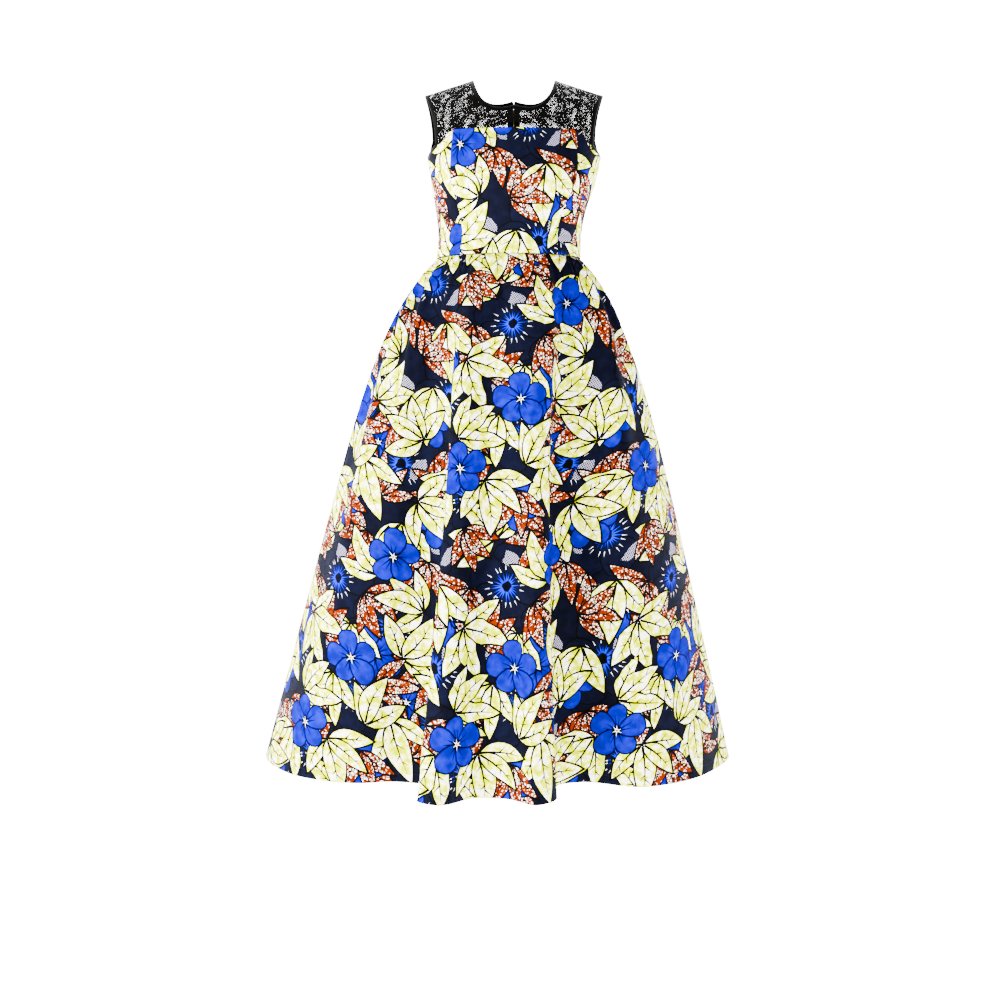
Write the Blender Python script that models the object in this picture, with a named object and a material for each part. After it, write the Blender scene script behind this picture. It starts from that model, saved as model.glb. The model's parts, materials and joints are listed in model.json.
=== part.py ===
"""A sleeveless wax print midi dress with a lace yoke, in the hollow form that it has when it is worn.

Units are metres. +Z is up, +X is to the right as the front is seen, and +Y points from the front to the back.
The origin lies midway between the two shoulder seams, at the height of their middles.
"""

import math
from typing import NamedTuple

import bmesh
import bpy
import numpy as np
from mathutils import Matrix, Vector

# Cloth and seams
WALL = 0.0014
LACE_WALL = 0.0012
SEAM_GAP = 0.0003
YOKE_SEAM_GAP = 0.0004
ZIP_SLIT = 0.0012
BINDING_RADIUS = 0.0016

# Shoulders and neck
NECK_HALF_WIDTH = 0.0700
SHOULDER_TIP = 0.1440
NECK_POINT_HEIGHT = 0.0120
SHOULDER_TIP_HEIGHT = -0.0110
SHOULDER_ROUND = 0.0500
NECK_DROP_FRONT = 0.1050
NECK_DROP_BACK = 0.0730
NECK_SPREAD = 1.4
NECK_SQUARENESS = 0.82
CHEST_SQUARENESS = 0.85

# Heights on the bodice
YOKE_SEAM = -0.0790
UNDERARM = -0.1170
WAIST = -0.2810

# Skirt: half width and depth of the ring at each level, as linear flare less a hip rounding
SKIRT_HALF_WIDTH = (0.1865, 0.197, 0.0680)
SKIRT_FRONT_DEPTH = (0.132, 0.103, 0.0400)
SKIRT_BACK_DEPTH = (0.128, 0.112, 0.0440)
HIP_ROUNDING = 0.13
SKIRT_DROP = 0.8145
SKIRT_DROP_BY_REACH = 0.135
WAIST_LEAN = -0.0090
HEM_LEAN = -0.0276
PLEAT_SETTLING = 0.22
FOLD_GROWTH = 0.80
WAIST_BUNCHING = 1.0

# Gathers sewn into the waist, in waves across one skirt panel from side seam to side seam
GATHER_WAVES = 20
GATHER_DEPTH = 0.0020
GATHER_FADE = 0.14
SOFT_WAVES = 10
SOFT_DEPTH = 0.0042
SOFT_PEAK = 0.15

# Zip
ZIP_TOP = -0.0170
ZIP_END_LEVEL = 0.18
TAPE_WIDTH = 0.0100
TAPE_WALL = 0.0010
TAPE_INSET = 0.0028
SLIDER_HEIGHT = -0.0290
SLIDER_SIZE = (0.0064, 0.0090)
PULL_LENGTH = 0.0190


class Section(NamedTuple):
    """One level of the bodice."""

    name: str
    height: float
    half_width: float
    front: float
    back: float
    lean: float


class Place(NamedTuple):
    """A point of a seam or edge, as seen from the front."""

    name: str
    x: float
    z: float


class Fold(NamedTuple):
    """Where the hem passes: across from its middle, and out from the line between the side seams."""

    name: str
    x: float
    reach: float


SECTIONS = (
    Section("waist seam", -0.281, 0.1190, 0.0920, 0.0840, -0.0090),
    Section("narrowest waist", -0.247, 0.1176, 0.0930, 0.0800, -0.0070),
    Section("under the bust", -0.205, 0.1230, 0.1040, 0.0840, -0.0055),
    Section("bust", -0.152, 0.1365, 0.1140, 0.0920, -0.0010),
    Section("underarm", -0.117, 0.1420, 0.1060, 0.0930, 0.0),
    Section("chest", -0.060, 0.1520, 0.0820, 0.0830, 0.0),
    Section("shoulder", 0.000, 0.1535, 0.0620, 0.0600, 0.0),
    Section("above the shoulder", 0.040, 0.1535, 0.0540, 0.0560, 0.0),
)

PRINCESS_SEAM = (
    Place("waist", 0.0795, -0.281),
    Place("narrowest waist", 0.0780, -0.240),
    Place("under the bust", 0.0860, -0.205),
    Place("bust", 0.1015, -0.165),
    Place("above the bust", 0.1035, -0.130),
    Place("yoke", 0.1000, -0.079),
)

FRONT_ARMHOLE = (
    Place("shoulder tip", 0.1440, -0.0110),
    Place("upper", 0.1370, -0.0300),
    Place("middle", 0.1305, -0.0550),
    Place("lower", 0.1265, -0.0850),
    Place("tail of the yoke", 0.1265, -0.1030),
)

FRONT_YOKE_TAIL = (
    Place("tail of the yoke", 0.1265, -0.1030),
    Place("end of the tail", 0.1195, -0.1000),
    Place("inner corner", 0.1105, -0.0875),
    Place("princess seam", 0.1000, -0.0790),
)

BACK_ARMHOLE = (
    Place("shoulder tip", 0.1440, -0.0110),
    Place("upper", 0.1390, -0.0300),
    Place("middle", 0.1350, -0.0550),
    Place("yoke seam", 0.1335, -0.0790),
)

FRONT_HEM = (
    Fold("left side seam", -0.381, 0.000),
    Fold("left side flute", -0.357, 0.082),
    Fold("left quarter", -0.300, 0.150),
    Fold("left flute", -0.219, 0.180),
    Fold("mouth of the left pleat", -0.160, 0.172),
    Fold("bottom of the left pleat", -0.112, 0.190),
    Fold("wall of the left pleat", -0.106, 0.240),
    Fold("edge of the left pleat", -0.120, 0.282),
    Fold("left crest", -0.092, 0.303),
    Fold("middle hollow", -0.030, 0.262),
    Fold("middle", 0.014, 0.268),
    Fold("right crest", 0.062, 0.302),
    Fold("edge of the right pleat", 0.091, 0.270),
    Fold("wall of the right pleat", 0.083, 0.226),
    Fold("bottom of the right pleat", 0.100, 0.186),
    Fold("right hollow", 0.132, 0.174),
    Fold("right flute", 0.225, 0.202),
    Fold("right quarter", 0.298, 0.164),
    Fold("right side flute", 0.355, 0.084),
    Fold("right side seam", 0.381, 0.000),
)

CENTRE_BACK = "centre back seam"
BACK_HEM = (
    Fold("left side seam", -0.381, 0.000),
    Fold("left side flute", -0.352, 0.094),
    Fold("left quarter", -0.296, 0.168),
    Fold("left hollow", -0.232, 0.176),
    Fold("left outer crest", -0.178, 0.244),
    Fold("left inner hollow", -0.110, 0.206),
    Fold("left inner crest", -0.052, 0.286),
    Fold(CENTRE_BACK, 0.002, 0.252),
    Fold("right inner crest", 0.058, 0.282),
    Fold("right inner hollow", 0.116, 0.214),
    Fold("right outer crest", 0.176, 0.252),
    Fold("right hollow", 0.238, 0.180),
    Fold("right quarter", 0.302, 0.158),
    Fold("right side flute", 0.355, 0.086),
    Fold("right side seam", 0.381, 0.000),
)

# Levels of the skirt's rings, from the waist at 0 to the hem at 1
SKIRT_LEVELS = (0.0, 0.03, 0.07, 0.12, 0.18, 0.26, 0.36, 0.48, 0.62, 0.80, 1.0)
SKIRT_COLUMNS = 80
BODICE_ROWS = 9

# Lace grid: cells along the armhole, the tail and the yoke seam, and cells from the outer edge to the neck
LACE_ARMHOLE_CELLS = 10
LACE_TAIL_CELLS = 5
LACE_SEAM_CELLS = 12
LACE_BACK_SEAM_CELLS = 12
LACE_RINGS = 6
LACE_GAP_RIM = 0.0016

NAVY = (0.022, 0.028, 0.080)
BLACK = (0.006, 0.006, 0.008)
BRASS = (0.30, 0.22, 0.10)


def curve_through(knots, values, at):
    """A smooth curve through the values, by cubic pieces."""
    slopes = np.gradient(values, knots)
    first = np.clip(np.searchsorted(knots, at, side="right") - 1, 0, len(knots) - 2)
    width = knots[first + 1] - knots[first]
    part = (at - knots[first]) / width
    rest = 1 - part
    ends = values[first] * (1 + 2 * part) * rest**2 + values[first + 1] * part**2 * (3 - 2 * part)
    return ends + width * part * rest * (slopes[first] * rest - slopes[first + 1] * part)


def section_size(column, height):
    """A column of SECTIONS at any height."""
    knots = np.array([row.height for row in SECTIONS])
    values = np.array([getattr(row, column) for row in SECTIONS])
    return curve_through(knots, values, np.asarray(height, float))


def shoulder_height(bearing):
    """Height of the shoulder seam's line over a bearing, in radians from the middle of the front or back."""
    across = np.abs(np.sin(bearing)) * SECTIONS[-1].half_width
    fall = (NECK_POINT_HEIGHT - SHOULDER_TIP_HEIGHT) / (SHOULDER_TIP - NECK_HALF_WIDTH)
    return NECK_POINT_HEIGHT - fall * (across - NECK_HALF_WIDTH)


def fall_of(length):
    """How far cloth has come down when it has gone this far over the rounded shoulder."""
    round_part = SHOULDER_ROUND * (1 - np.cos(np.minimum(length / SHOULDER_ROUND, math.pi / 2)))
    return round_part + np.maximum(length - SHOULDER_ROUND * math.pi / 2, 0)


def length_of(fall):
    """The cloth's length from the shoulder seam for this fall."""
    turn = np.arccos(np.clip(1 - fall / SHOULDER_ROUND, 0, 1))
    return SHOULDER_ROUND * turn + np.maximum(fall - SHOULDER_ROUND, 0)


def bodice_point(bearing, length, side):
    """A point of the bodice's outer surface; side is -1 for the front and 1 for the back."""
    height = shoulder_height(bearing) - fall_of(length)
    depth = section_size("front" if side < 0 else "back", height)
    arch = np.sin(np.minimum(length / SHOULDER_ROUND, math.pi / 2))
    x = section_size("half_width", height) * np.sin(bearing) + section_size("lean", height)
    y = side * depth * np.maximum(np.cos(bearing), 0) ** CHEST_SQUARENESS * arch
    return np.stack([x, y, height], axis=-1)


def with_normal(point, first, second, side):
    """Points of an outer surface and the directions square to it, as two arrays."""
    step = 1e-4
    here = point(first, second, side)
    across = point(first + step, second, side) - point(first - step, second, side)
    down = point(first, second + step, side) - point(first, second, side)
    normal = np.cross(across, down)
    normal /= np.linalg.norm(normal, axis=1, keepdims=True)
    return here, normal * side


def pattern_point(x, z):
    """The bearing and length of a point seen from the front at x, z."""
    bearing = np.arcsin(np.clip(np.asarray(x, float) / section_size("half_width", z), -1, 1))
    return np.stack([bearing, length_of(shoulder_height(bearing) - z)], axis=-1)


def stretch(places, cells):
    """Evenly spaced pattern points along the smooth line through some places."""
    rows = np.array([(place.x, place.z) for place in places])
    knots = np.concatenate([[0], np.cumsum(np.hypot(*np.diff(rows, axis=0).T))])
    at = np.linspace(0, knots[-1], 8 * cells + 1)
    fine = np.stack([curve_through(knots, rows[:, 0], at), curve_through(knots, rows[:, 1], at)], axis=-1)
    flat = pattern_point(fine[:, 0], fine[:, 1])
    steps = np.diff(flat, axis=0) * (SECTIONS[-1].half_width, 1)
    along = np.concatenate([[0], np.cumsum(np.hypot(*steps.T))])
    even = np.linspace(0, along[-1], cells + 1)
    return np.stack([np.interp(even, along, flat[:, 0]), np.interp(even, along, flat[:, 1])], axis=-1)


def moved_down(flat, gap):
    """Pattern points moved square to their line, away from the shoulder."""
    tangent = np.gradient(flat, axis=0) * (SECTIONS[-1].half_width, 1)
    normal = np.stack([tangent[:, 1], -tangent[:, 0]], axis=-1)
    normal /= np.linalg.norm(normal, axis=1, keepdims=True)
    normal *= np.where(normal[:, 1:] < 0, -1, 1)
    return flat + normal * gap / (SECTIONS[-1].half_width, 1)


def neckline(cells, drop):
    """Pattern points round a quarter of the neck, from the shoulder seam to the middle."""
    angle = np.linspace(0, 1, cells + 1) ** NECK_SPREAD * math.pi / 2
    across = NECK_HALF_WIDTH * np.cos(angle) ** NECK_SQUARENESS
    return np.stack(
        [np.arcsin(across / SECTIONS[-1].half_width), drop * np.sin(angle) ** NECK_SQUARENESS], axis=-1
    )


def yoke_outline(side):
    """Pattern points of half a yoke's outer edge, from the shoulder tip to the middle."""
    if side < 0:
        armhole = stretch(FRONT_ARMHOLE, LACE_ARMHOLE_CELLS)
        tail = stretch(FRONT_YOKE_TAIL, LACE_TAIL_CELLS)
        seam = stretch((FRONT_YOKE_TAIL[-1], Place("middle", 0.0, YOKE_SEAM)), LACE_SEAM_CELLS)
        return np.concatenate([armhole, tail[1:], seam[1:]])
    armhole = stretch(BACK_ARMHOLE, LACE_ARMHOLE_CELLS)
    seam = stretch((BACK_ARMHOLE[-1], Place("middle", 0.0, YOKE_SEAM)), LACE_BACK_SEAM_CELLS)
    return np.concatenate([armhole, seam[1:]])


def underarm_curve(side, cells):
    """Pattern points from the yoke's lower corner on the armhole, round to the side seam."""
    start = stretch(FRONT_ARMHOLE if side < 0 else BACK_ARMHOLE, LACE_ARMHOLE_CELLS)[-1]
    turn = np.linspace(0, 1, cells + 1)
    bearing = start[0] + (math.pi / 2 - start[0]) * turn
    height = shoulder_height(start[0]) - fall_of(start[1])
    heights = UNDERARM + (height - UNDERARM) * (1 - np.sin(turn * math.pi / 2)) ** 1.2
    return np.stack([bearing, length_of(shoulder_height(bearing) - heights)], axis=-1)


def princess_bearing(height):
    """Bearing of the princess seam at a height."""
    knots = np.array([place.z for place in PRINCESS_SEAM])
    across = curve_through(knots, np.array([place.x for place in PRINCESS_SEAM]), height)
    return np.arcsin(across / section_size("half_width", height))


def skirt_size(flare, level):
    """Half width or depth of the skirt's ring at a level."""
    start, growth, rounding = flare
    return start + growth * level - rounding * np.exp(-level / HIP_ROUNDING)


def hem_line(folds, depth_flare):
    """Share of the cloth, bearing and standing out of each fold, as three arrays."""
    x = np.array([fold.x for fold in folds])
    reach = np.array([fold.reach for fold in folds])
    width, depth = skirt_size(SKIRT_HALF_WIDTH, 1.0), skirt_size(depth_flare, 1.0)
    along = np.concatenate([[0], np.cumsum(np.hypot(np.diff(x), np.diff(reach)))])
    bearing = np.arctan2(x / width, reach / depth)
    out = np.hypot(x, reach) - np.hypot(width * np.sin(bearing), depth * np.cos(bearing))
    return 2 * along / along[-1] - 1, bearing, out


def skirt_point(share, level, side):
    """A point of the skirt's outer surface; share runs from -1 at the left side seam to 1 at the right one."""
    folds, depth_flare = (FRONT_HEM, SKIRT_FRONT_DEPTH) if side < 0 else (BACK_HEM, SKIRT_BACK_DEPTH)
    knots, bearings, outs = hem_line(folds, depth_flare)
    at_waist = np.sign(share) * (1 - np.exp(-WAIST_BUNCHING * np.abs(share))) / (1 - math.exp(-WAIST_BUNCHING))
    at_hem = curve_through(knots, bearings, share)
    settled = (1 - np.exp(-level / PLEAT_SETTLING)) / (1 - math.exp(-1 / PLEAT_SETTLING))
    bearing = at_waist * math.pi / 2 * (1 - settled) + at_hem * settled
    out = curve_through(knots, outs, share) * level**FOLD_GROWTH
    edges = np.clip((1 - np.abs(share)) / 0.06, 0, 1)
    if side > 0:
        edges = edges * np.clip(np.abs(share - centre_back_share()) / 0.10, 0, 1)
    calm = edges**2 * (3 - 2 * edges)
    sewn = 0.3 + 0.7 * np.minimum(level / 0.03, 1)
    gathers = GATHER_DEPTH * sewn * np.exp(-((level / GATHER_FADE) ** 2))
    gathers = gathers * (1 + 0.35 * np.sin(7.3 * share + 1)) * np.sin(math.pi * GATHER_WAVES * (share + 1))
    soft = SOFT_DEPTH * (level / SOFT_PEAK) * np.exp(1 - level / SOFT_PEAK)
    soft = soft * (1 + 0.4 * np.sin(5.1 * share - 1)) * np.sin(math.pi * SOFT_WAVES * (share + 1) + 0.6)
    width, depth = skirt_size(SKIRT_HALF_WIDTH, level), skirt_size(depth_flare, level)
    across, along = width * np.sin(bearing), depth * np.cos(bearing)
    bigger = 1 + (out + calm * (gathers + soft)) / np.hypot(across, along)
    lean = WAIST_LEAN + (HEM_LEAN - WAIST_LEAN) * level
    reach = along * bigger
    drop = level * (SKIRT_DROP + SKIRT_DROP_BY_REACH * reach)
    return np.stack([lean + across * bigger, side * reach, WAIST - SEAM_GAP - drop], axis=-1)


def centre_back_share():
    """Share of the back's cloth at which its centre seam lies."""
    shares = hem_line(BACK_HEM, SKIRT_BACK_DEPTH)[0]
    return shares[[fold.name for fold in BACK_HEM].index(CENTRE_BACK)]


def finish_of(name, colour, roughness, metallic=0.0):
    """The Principled material of this name, made once."""
    found = bpy.data.materials.get(name)
    if found:
        return found
    material = bpy.data.materials.new(name)
    material.use_nodes = True
    shader = material.node_tree.nodes["Principled BSDF"]
    shader.inputs["Base Color"].default_value = (*colour, 1)
    shader.inputs["Roughness"].default_value = roughness
    shader.inputs["Metallic"].default_value = metallic
    return material


def add_object(name, data, material, collection):
    """An object with this data and material, in the collection."""
    made = bpy.data.objects.new(name, data)
    data.materials.append(material)
    collection.objects.link(made)
    return made


def cloth_panel(name, cells, shape, wall, material, collection, gaps=None):
    """A cloth wall: a grid of cells laid on a surface, then given its thickness towards the inside.

    shape takes the column and row numbers of the grid's corners and gives their places and the directions square
    to the surface, which neighbouring panels share at their seam. gaps takes the middle of each cell, in columns
    and rows, and says which cells are cut through.
    """
    columns, rows = cells
    grid = bmesh.new()
    bmesh.ops.create_grid(grid, x_segments=columns, y_segments=rows, size=1)
    square = grid.verts.layers.float_vector.new("square")
    corners = np.array([vert.co for vert in grid.verts])
    column = np.rint((corners[:, 0] + 1) / 2 * columns).astype(int)
    row = np.rint((corners[:, 1] + 1) / 2 * rows).astype(int)
    middles = [face.calc_center_median() for face in grid.faces]
    cut = [
        face
        for face, middle in zip(grid.faces, middles)
        if gaps and gaps((middle.x + 1) / 2 * columns, (middle.y + 1) / 2 * rows)
    ]
    outer = list(grid.verts)
    for vert, place, normal in zip(outer, *shape(column, row)):
        vert.co = place
        vert[square] = normal
    if cut:
        kept = set(outer)
        grid.normal_update()
        cut = [face for face in cut if face.calc_area() > LACE_GAP_RIM * face.calc_perimeter()]
        bmesh.ops.inset_individual(grid, faces=cut, thickness=LACE_GAP_RIM, use_even_offset=True)
        for face in cut:
            for vert in face.verts:
                near = [end for edge in vert.link_edges for end in edge.verts if end in kept]
                vert[square] = sum((end[square] for end in near), Vector()).normalized()
        bmesh.ops.delete(grid, geom=cut, context="FACES")
    # The inner face copies these diagonals, so that a twisted cell keeps the wall's thickness.
    bmesh.ops.triangulate(grid, faces=list(grid.faces))
    made = bmesh.ops.extrude_face_region(grid, geom=list(grid.faces), use_keep_orig=True)
    for item in made["geom"]:
        if isinstance(item, bmesh.types.BMVert):
            item.co -= item[square] * wall
    bmesh.ops.recalc_face_normals(grid, faces=list(grid.faces))
    if grid.calc_volume(signed=True) < 0:
        bmesh.ops.reverse_faces(grid, faces=list(grid.faces))
    grid.verts.layers.float_vector.remove(square)
    mesh = bpy.data.meshes.new(name)
    grid.to_mesh(mesh)
    grid.free()
    mesh.shade_smooth()
    mesh.set_sharp_from_angle(angle=math.radians(60))
    return add_object(name, mesh, material, collection)


def yoke_shape(flats, side):
    """Places of a yoke's grid: columns along its outer edge, rows from that edge to the neck."""
    outer, inner = flats

    def shape(column, row):
        part = (row / LACE_RINGS)[:, None]
        flat = outer[column] * (1 - part) + inner[column] * part
        return with_normal(bodice_point, flat[:, 0], flat[:, 1], side)

    return shape


def lace_gap(column, row):
    """Which cells of the lace are open: one in six, never two that meet."""
    column, row = int(column), int(row)
    return 0 < row < LACE_RINGS - 1 and column % 2 == 1 and (row + column // 2) % 3 == 0


def ridge_kept_apart(flat):
    """Pattern points with those on the shoulder seam moved down by half a seam gap."""
    flat = flat.copy()
    flat[:, 1] = np.maximum(flat[:, 1], SEAM_GAP * 0.9)
    return flat


def add_yokes(lace, collection):
    """The front yoke, and the back yoke's two halves on either side of the zip."""
    outer = ridge_kept_apart(yoke_outline(-1))
    inner = ridge_kept_apart(neckline(len(outer) - 1, NECK_DROP_FRONT))
    mirrored = [np.concatenate([edge * (-1, 1), edge[-2::-1]]) for edge in (outer, inner)]
    cells = (len(mirrored[0]) - 1, LACE_RINGS)
    cloth_panel("yoke_front", cells, yoke_shape(mirrored, -1), LACE_WALL, lace, collection, lace_gap)
    outer = ridge_kept_apart(yoke_outline(1))
    inner = ridge_kept_apart(neckline(len(outer) - 1, NECK_DROP_BACK))
    slit = np.arcsin(ZIP_SLIT / 2 / SECTIONS[-1].half_width)
    for name, sign in (("yoke_back_left", -1), ("yoke_back_right", 1)):
        halves = []
        for edge in (outer, inner):
            half = edge.copy()
            half[:, 0] = slit + half[:, 0] * (1 - slit / half[0, 0])
            halves.append(half * (sign, 1))
        cells = (len(outer) - 1, LACE_RINGS)
        cloth_panel(name, cells, yoke_shape(halves, 1), LACE_WALL, lace, collection, lace_gap)


def bodice_shape(top, inner_edge, outer_edge, side, sign):
    """Places of a lower bodice panel between two edges, under a top line given by its pattern points."""
    top_height = shoulder_height(top[:, 0]) - fall_of(top[:, 1])
    start, end = inner_edge(top_height), outer_edge(top_height)
    part = np.clip((top[:, 0] - start) / (end - start), 0, 1)

    def shape(column, row):
        height = WAIST + (top_height[column] - WAIST) * row / BODICE_ROWS
        bearing = inner_edge(height) * (1 - part[column]) + outer_edge(height) * part[column]
        flat = length_of(shoulder_height(bearing) - height)
        return with_normal(bodice_point, bearing * sign, flat, side)

    return shape


def add_bodice(cloth, collection):
    """The lower bodice: centre front, side fronts and backs."""
    seam_turn = SEAM_GAP / 2 / section_size("half_width", WAIST)
    outline = yoke_outline(-1)
    below = moved_down(outline[LACE_ARMHOLE_CELLS:], YOKE_SEAM_GAP)
    centre_top = below[LACE_TAIL_CELLS:]
    half = bodice_shape(
        centre_top, lambda z: 0 * z, lambda z: princess_bearing(z) - seam_turn, -1, 1
    )

    def centre_front(column, row):
        column = column - LACE_SEAM_CELLS
        places, normals = half(LACE_SEAM_CELLS - np.abs(column), row)
        lean = section_size("lean", places[:, 2])
        hand = np.where(column < 0, -1, 1)
        places[:, 0] = lean + hand * (places[:, 0] - lean)
        normals[:, 0] *= hand
        return places, normals

    cells = (2 * LACE_SEAM_CELLS, BODICE_ROWS)
    cloth_panel("bodice_centre_front", cells, centre_front, WALL, cloth, collection)
    round_cells = 5
    top = np.concatenate([underarm_curve(-1, round_cells)[:0:-1], below[: LACE_TAIL_CELLS + 1]])
    cells = (len(top) - 1, BODICE_ROWS)
    for name, sign in (("bodice_side_front_left", -1), ("bodice_side_front_right", 1)):
        shape = bodice_shape(
            top, lambda z: princess_bearing(z) + seam_turn, lambda z: math.pi / 2 - seam_turn + 0 * z, -1, sign
        )
        cloth_panel(name, cells, shape, WALL, cloth, collection)
    seam = moved_down(yoke_outline(1)[LACE_ARMHOLE_CELLS:], YOKE_SEAM_GAP)
    top = np.concatenate([underarm_curve(1, round_cells)[:0:-1], seam])
    cells = (len(top) - 1, BODICE_ROWS)
    for name, sign in (("bodice_back_left", -1), ("bodice_back_right", 1)):
        shape = bodice_shape(
            top,
            lambda z: np.arcsin(ZIP_SLIT / 2 / section_size("half_width", z)),
            lambda z: math.pi / 2 - seam_turn + 0 * z,
            1,
            sign,
        )
        cloth_panel(name, cells, shape, WALL, cloth, collection)


def skirt_shape(start, end, columns, side):
    """Places of a skirt panel between two shares of its side's cloth, with its edges kept off the seams."""

    def shape(column, row):
        level = np.array(SKIRT_LEVELS)[len(SKIRT_LEVELS) - 1 - row]
        share = start + (end - start) * column / columns
        places, normals = with_normal(skirt_point, share, level, side)
        normals[np.abs(share) == 1, 1] = 0
        normals /= np.linalg.norm(normals, axis=1, keepdims=True)
        across = np.cross(normals, (0, 0, side))
        across /= np.linalg.norm(across, axis=1, keepdims=True)
        at_centre = (side > 0) & (np.abs(share - centre_back_share()) < 1e-9) & (level <= ZIP_END_LEVEL)
        inset = np.where(at_centre, ZIP_SLIT / 2, SEAM_GAP / 2)
        places += across * (inset * np.where(column == 0, 1, np.where(column == columns, -1, 0)))[:, None]
        return places, normals

    return shape


def add_skirt(cloth, collection):
    """The skirt's front, and its two backs with the seam between them."""
    rows = len(SKIRT_LEVELS) - 1
    middle = centre_back_share()
    half = SKIRT_COLUMNS // 2
    cloth_panel("skirt_front", (SKIRT_COLUMNS, rows), skirt_shape(-1, 1, SKIRT_COLUMNS, -1), WALL, cloth, collection)
    cloth_panel("skirt_back_left", (half, rows), skirt_shape(-1, middle, half, 1), WALL, cloth, collection)
    cloth_panel("skirt_back_right", (half, rows), skirt_shape(middle, 1, half, 1), WALL, cloth, collection)


def edge_places(flat, side, outwards):
    """Where a binding's middle runs beside an edge; outwards is the way off the cloth, in pattern terms."""
    here, normal = with_normal(bodice_point, flat[:, 0], flat[:, 1], side)
    tangent = np.gradient(here, axis=0)
    off = np.cross(tangent, normal)
    off /= np.linalg.norm(off, axis=1, keepdims=True)
    return here + off * outwards * (BINDING_RADIUS + SEAM_GAP) - normal * LACE_WALL / 2


def add_binding(name, places, closed, material, collection):
    """A narrow rolled binding along a line of places."""
    curve = bpy.data.curves.new(name, "CURVE")
    curve.dimensions = "3D"
    curve.bevel_depth = BINDING_RADIUS
    curve.bevel_resolution = 1
    curve.use_fill_caps = not closed
    line = curve.splines.new("POLY")
    line.points.add(len(places) - 1)
    line.use_cyclic_u = closed
    for point, place in zip(line.points, places):
        point.co = (*place, 1)
    add_object(name, curve, material, collection)


def add_bindings(material, collection):
    """The neck binding, open at the zip, and the two armhole bindings."""
    front = neckline(14, NECK_DROP_FRONT)
    back = neckline(11, NECK_DROP_BACK)
    front_line = np.concatenate([front * (-1, 1), front[-2::-1]])
    back[-1, 0] = (ZIP_SLIT / 2 + SEAM_GAP) / SECTIONS[-1].half_width
    right = edge_places(back, 1, -1)
    left = right[::-1] * (-1, 1, 1)
    middle = edge_places(front_line, -1, -1)
    neck = np.concatenate([left, middle[1:-1], right])
    add_binding("neck_binding", neck, False, material, collection)
    for name, sign in (("armhole_binding_left", -1), ("armhole_binding_right", 1)):
        loops = []
        for side, rows in ((-1, FRONT_ARMHOLE), (1, BACK_ARMHOLE)):
            flat = np.concatenate([stretch(rows, LACE_ARMHOLE_CELLS), underarm_curve(side, 5)[1:]])
            loops.append(edge_places(flat, side, side))
        loop = np.concatenate([loops[0], loops[1][-2:0:-1]])
        add_binding(name, loop * (sign, 1, 1), True, material, collection)


def back_middle(height, off_centre):
    """The back's outer surface just beside the zip, on the bodice or the skirt."""
    bearing = np.arcsin(off_centre / section_size("half_width", np.maximum(height, WAIST)))
    upper = bodice_point(bearing, length_of(shoulder_height(bearing) - np.maximum(height, WAIST)), 1)
    middle = centre_back_share()
    levels = np.linspace(0, 2 * ZIP_END_LEVEL, 49)
    level = np.interp(-height, -skirt_point(np.full(levels.shape, middle), levels, 1)[:, 2], levels)
    shares = middle + np.linspace(-0.08, 0.08, 33)
    lower = upper.copy()
    for index in np.flatnonzero(height < WAIST):
        ring = skirt_point(shares, np.full(shares.shape, level[index]), 1)
        seam = ring[len(ring) // 2, 0]
        lower[index] = (seam + off_centre[index], np.interp(seam + off_centre[index], ring[:, 0], ring[:, 1]),
                        height[index])
    return lower


def zip_heights():
    """Heights of the tapes' rows from the bottom up, level with those of the panels that they lie in."""
    levels = np.array([level for level in SKIRT_LEVELS if level <= ZIP_END_LEVEL])
    skirt = skirt_point(np.full(levels.shape, centre_back_share()), levels, 1)[::-1, 2]
    bodice = np.linspace(WAIST, YOKE_SEAM, BODICE_ROWS + 1)
    neck = shoulder_height(0.0) - fall_of(NECK_DROP_BACK)
    yoke = np.linspace(YOKE_SEAM, neck, LACE_RINGS + 1)[1:-1]
    return np.concatenate([skirt[:-1], bodice, yoke, [ZIP_TOP]])


def add_tapes(material, collection):
    """The zip's two tapes, inside the back's edges."""
    heights = zip_heights()
    for name, sign in (("zip_tape_left", -1), ("zip_tape_right", 1)):

        def shape(column, row, sign=sign):
            height = heights[row]
            off_centre = sign * (ZIP_SLIT / 2 + TAPE_WIDTH * column / 2)
            places = back_middle(height, off_centre) - (0, TAPE_INSET, 0)
            return places, np.tile((0.0, 1.0, 0.0), (len(places), 1))

        cloth_panel(name, (2, len(heights) - 1), shape, TAPE_WALL, material, collection)


def add_box(size, place, collection):
    """A plain box of this size, used to build up the slider."""
    bpy.ops.mesh.primitive_cube_add(size=1)
    box = bpy.context.object
    for old in box.users_collection:
        old.objects.unlink(box)
    collection.objects.link(box)
    box.data.transform(Matrix.Translation(place) @ Matrix.Diagonal((*size, 1)))
    return box


def joined(name, boxes, frame, material, cutters):
    """The first box with the others united to it, placed by a frame."""
    body = boxes[0]
    body.name = name
    body.data.name = name
    body.data.materials.append(material)
    for other in boxes[1:]:
        union = body.modifiers.new("with " + other.name, "BOOLEAN")
        union.operation = "UNION"
        union.object = other
        for old in other.users_collection:
            old.objects.unlink(other)
        cutters.objects.link(other)
        other.hide_render = True
        other.display_type = "WIRE"
        other.matrix_world = frame
    body.matrix_world = frame
    return body


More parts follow.
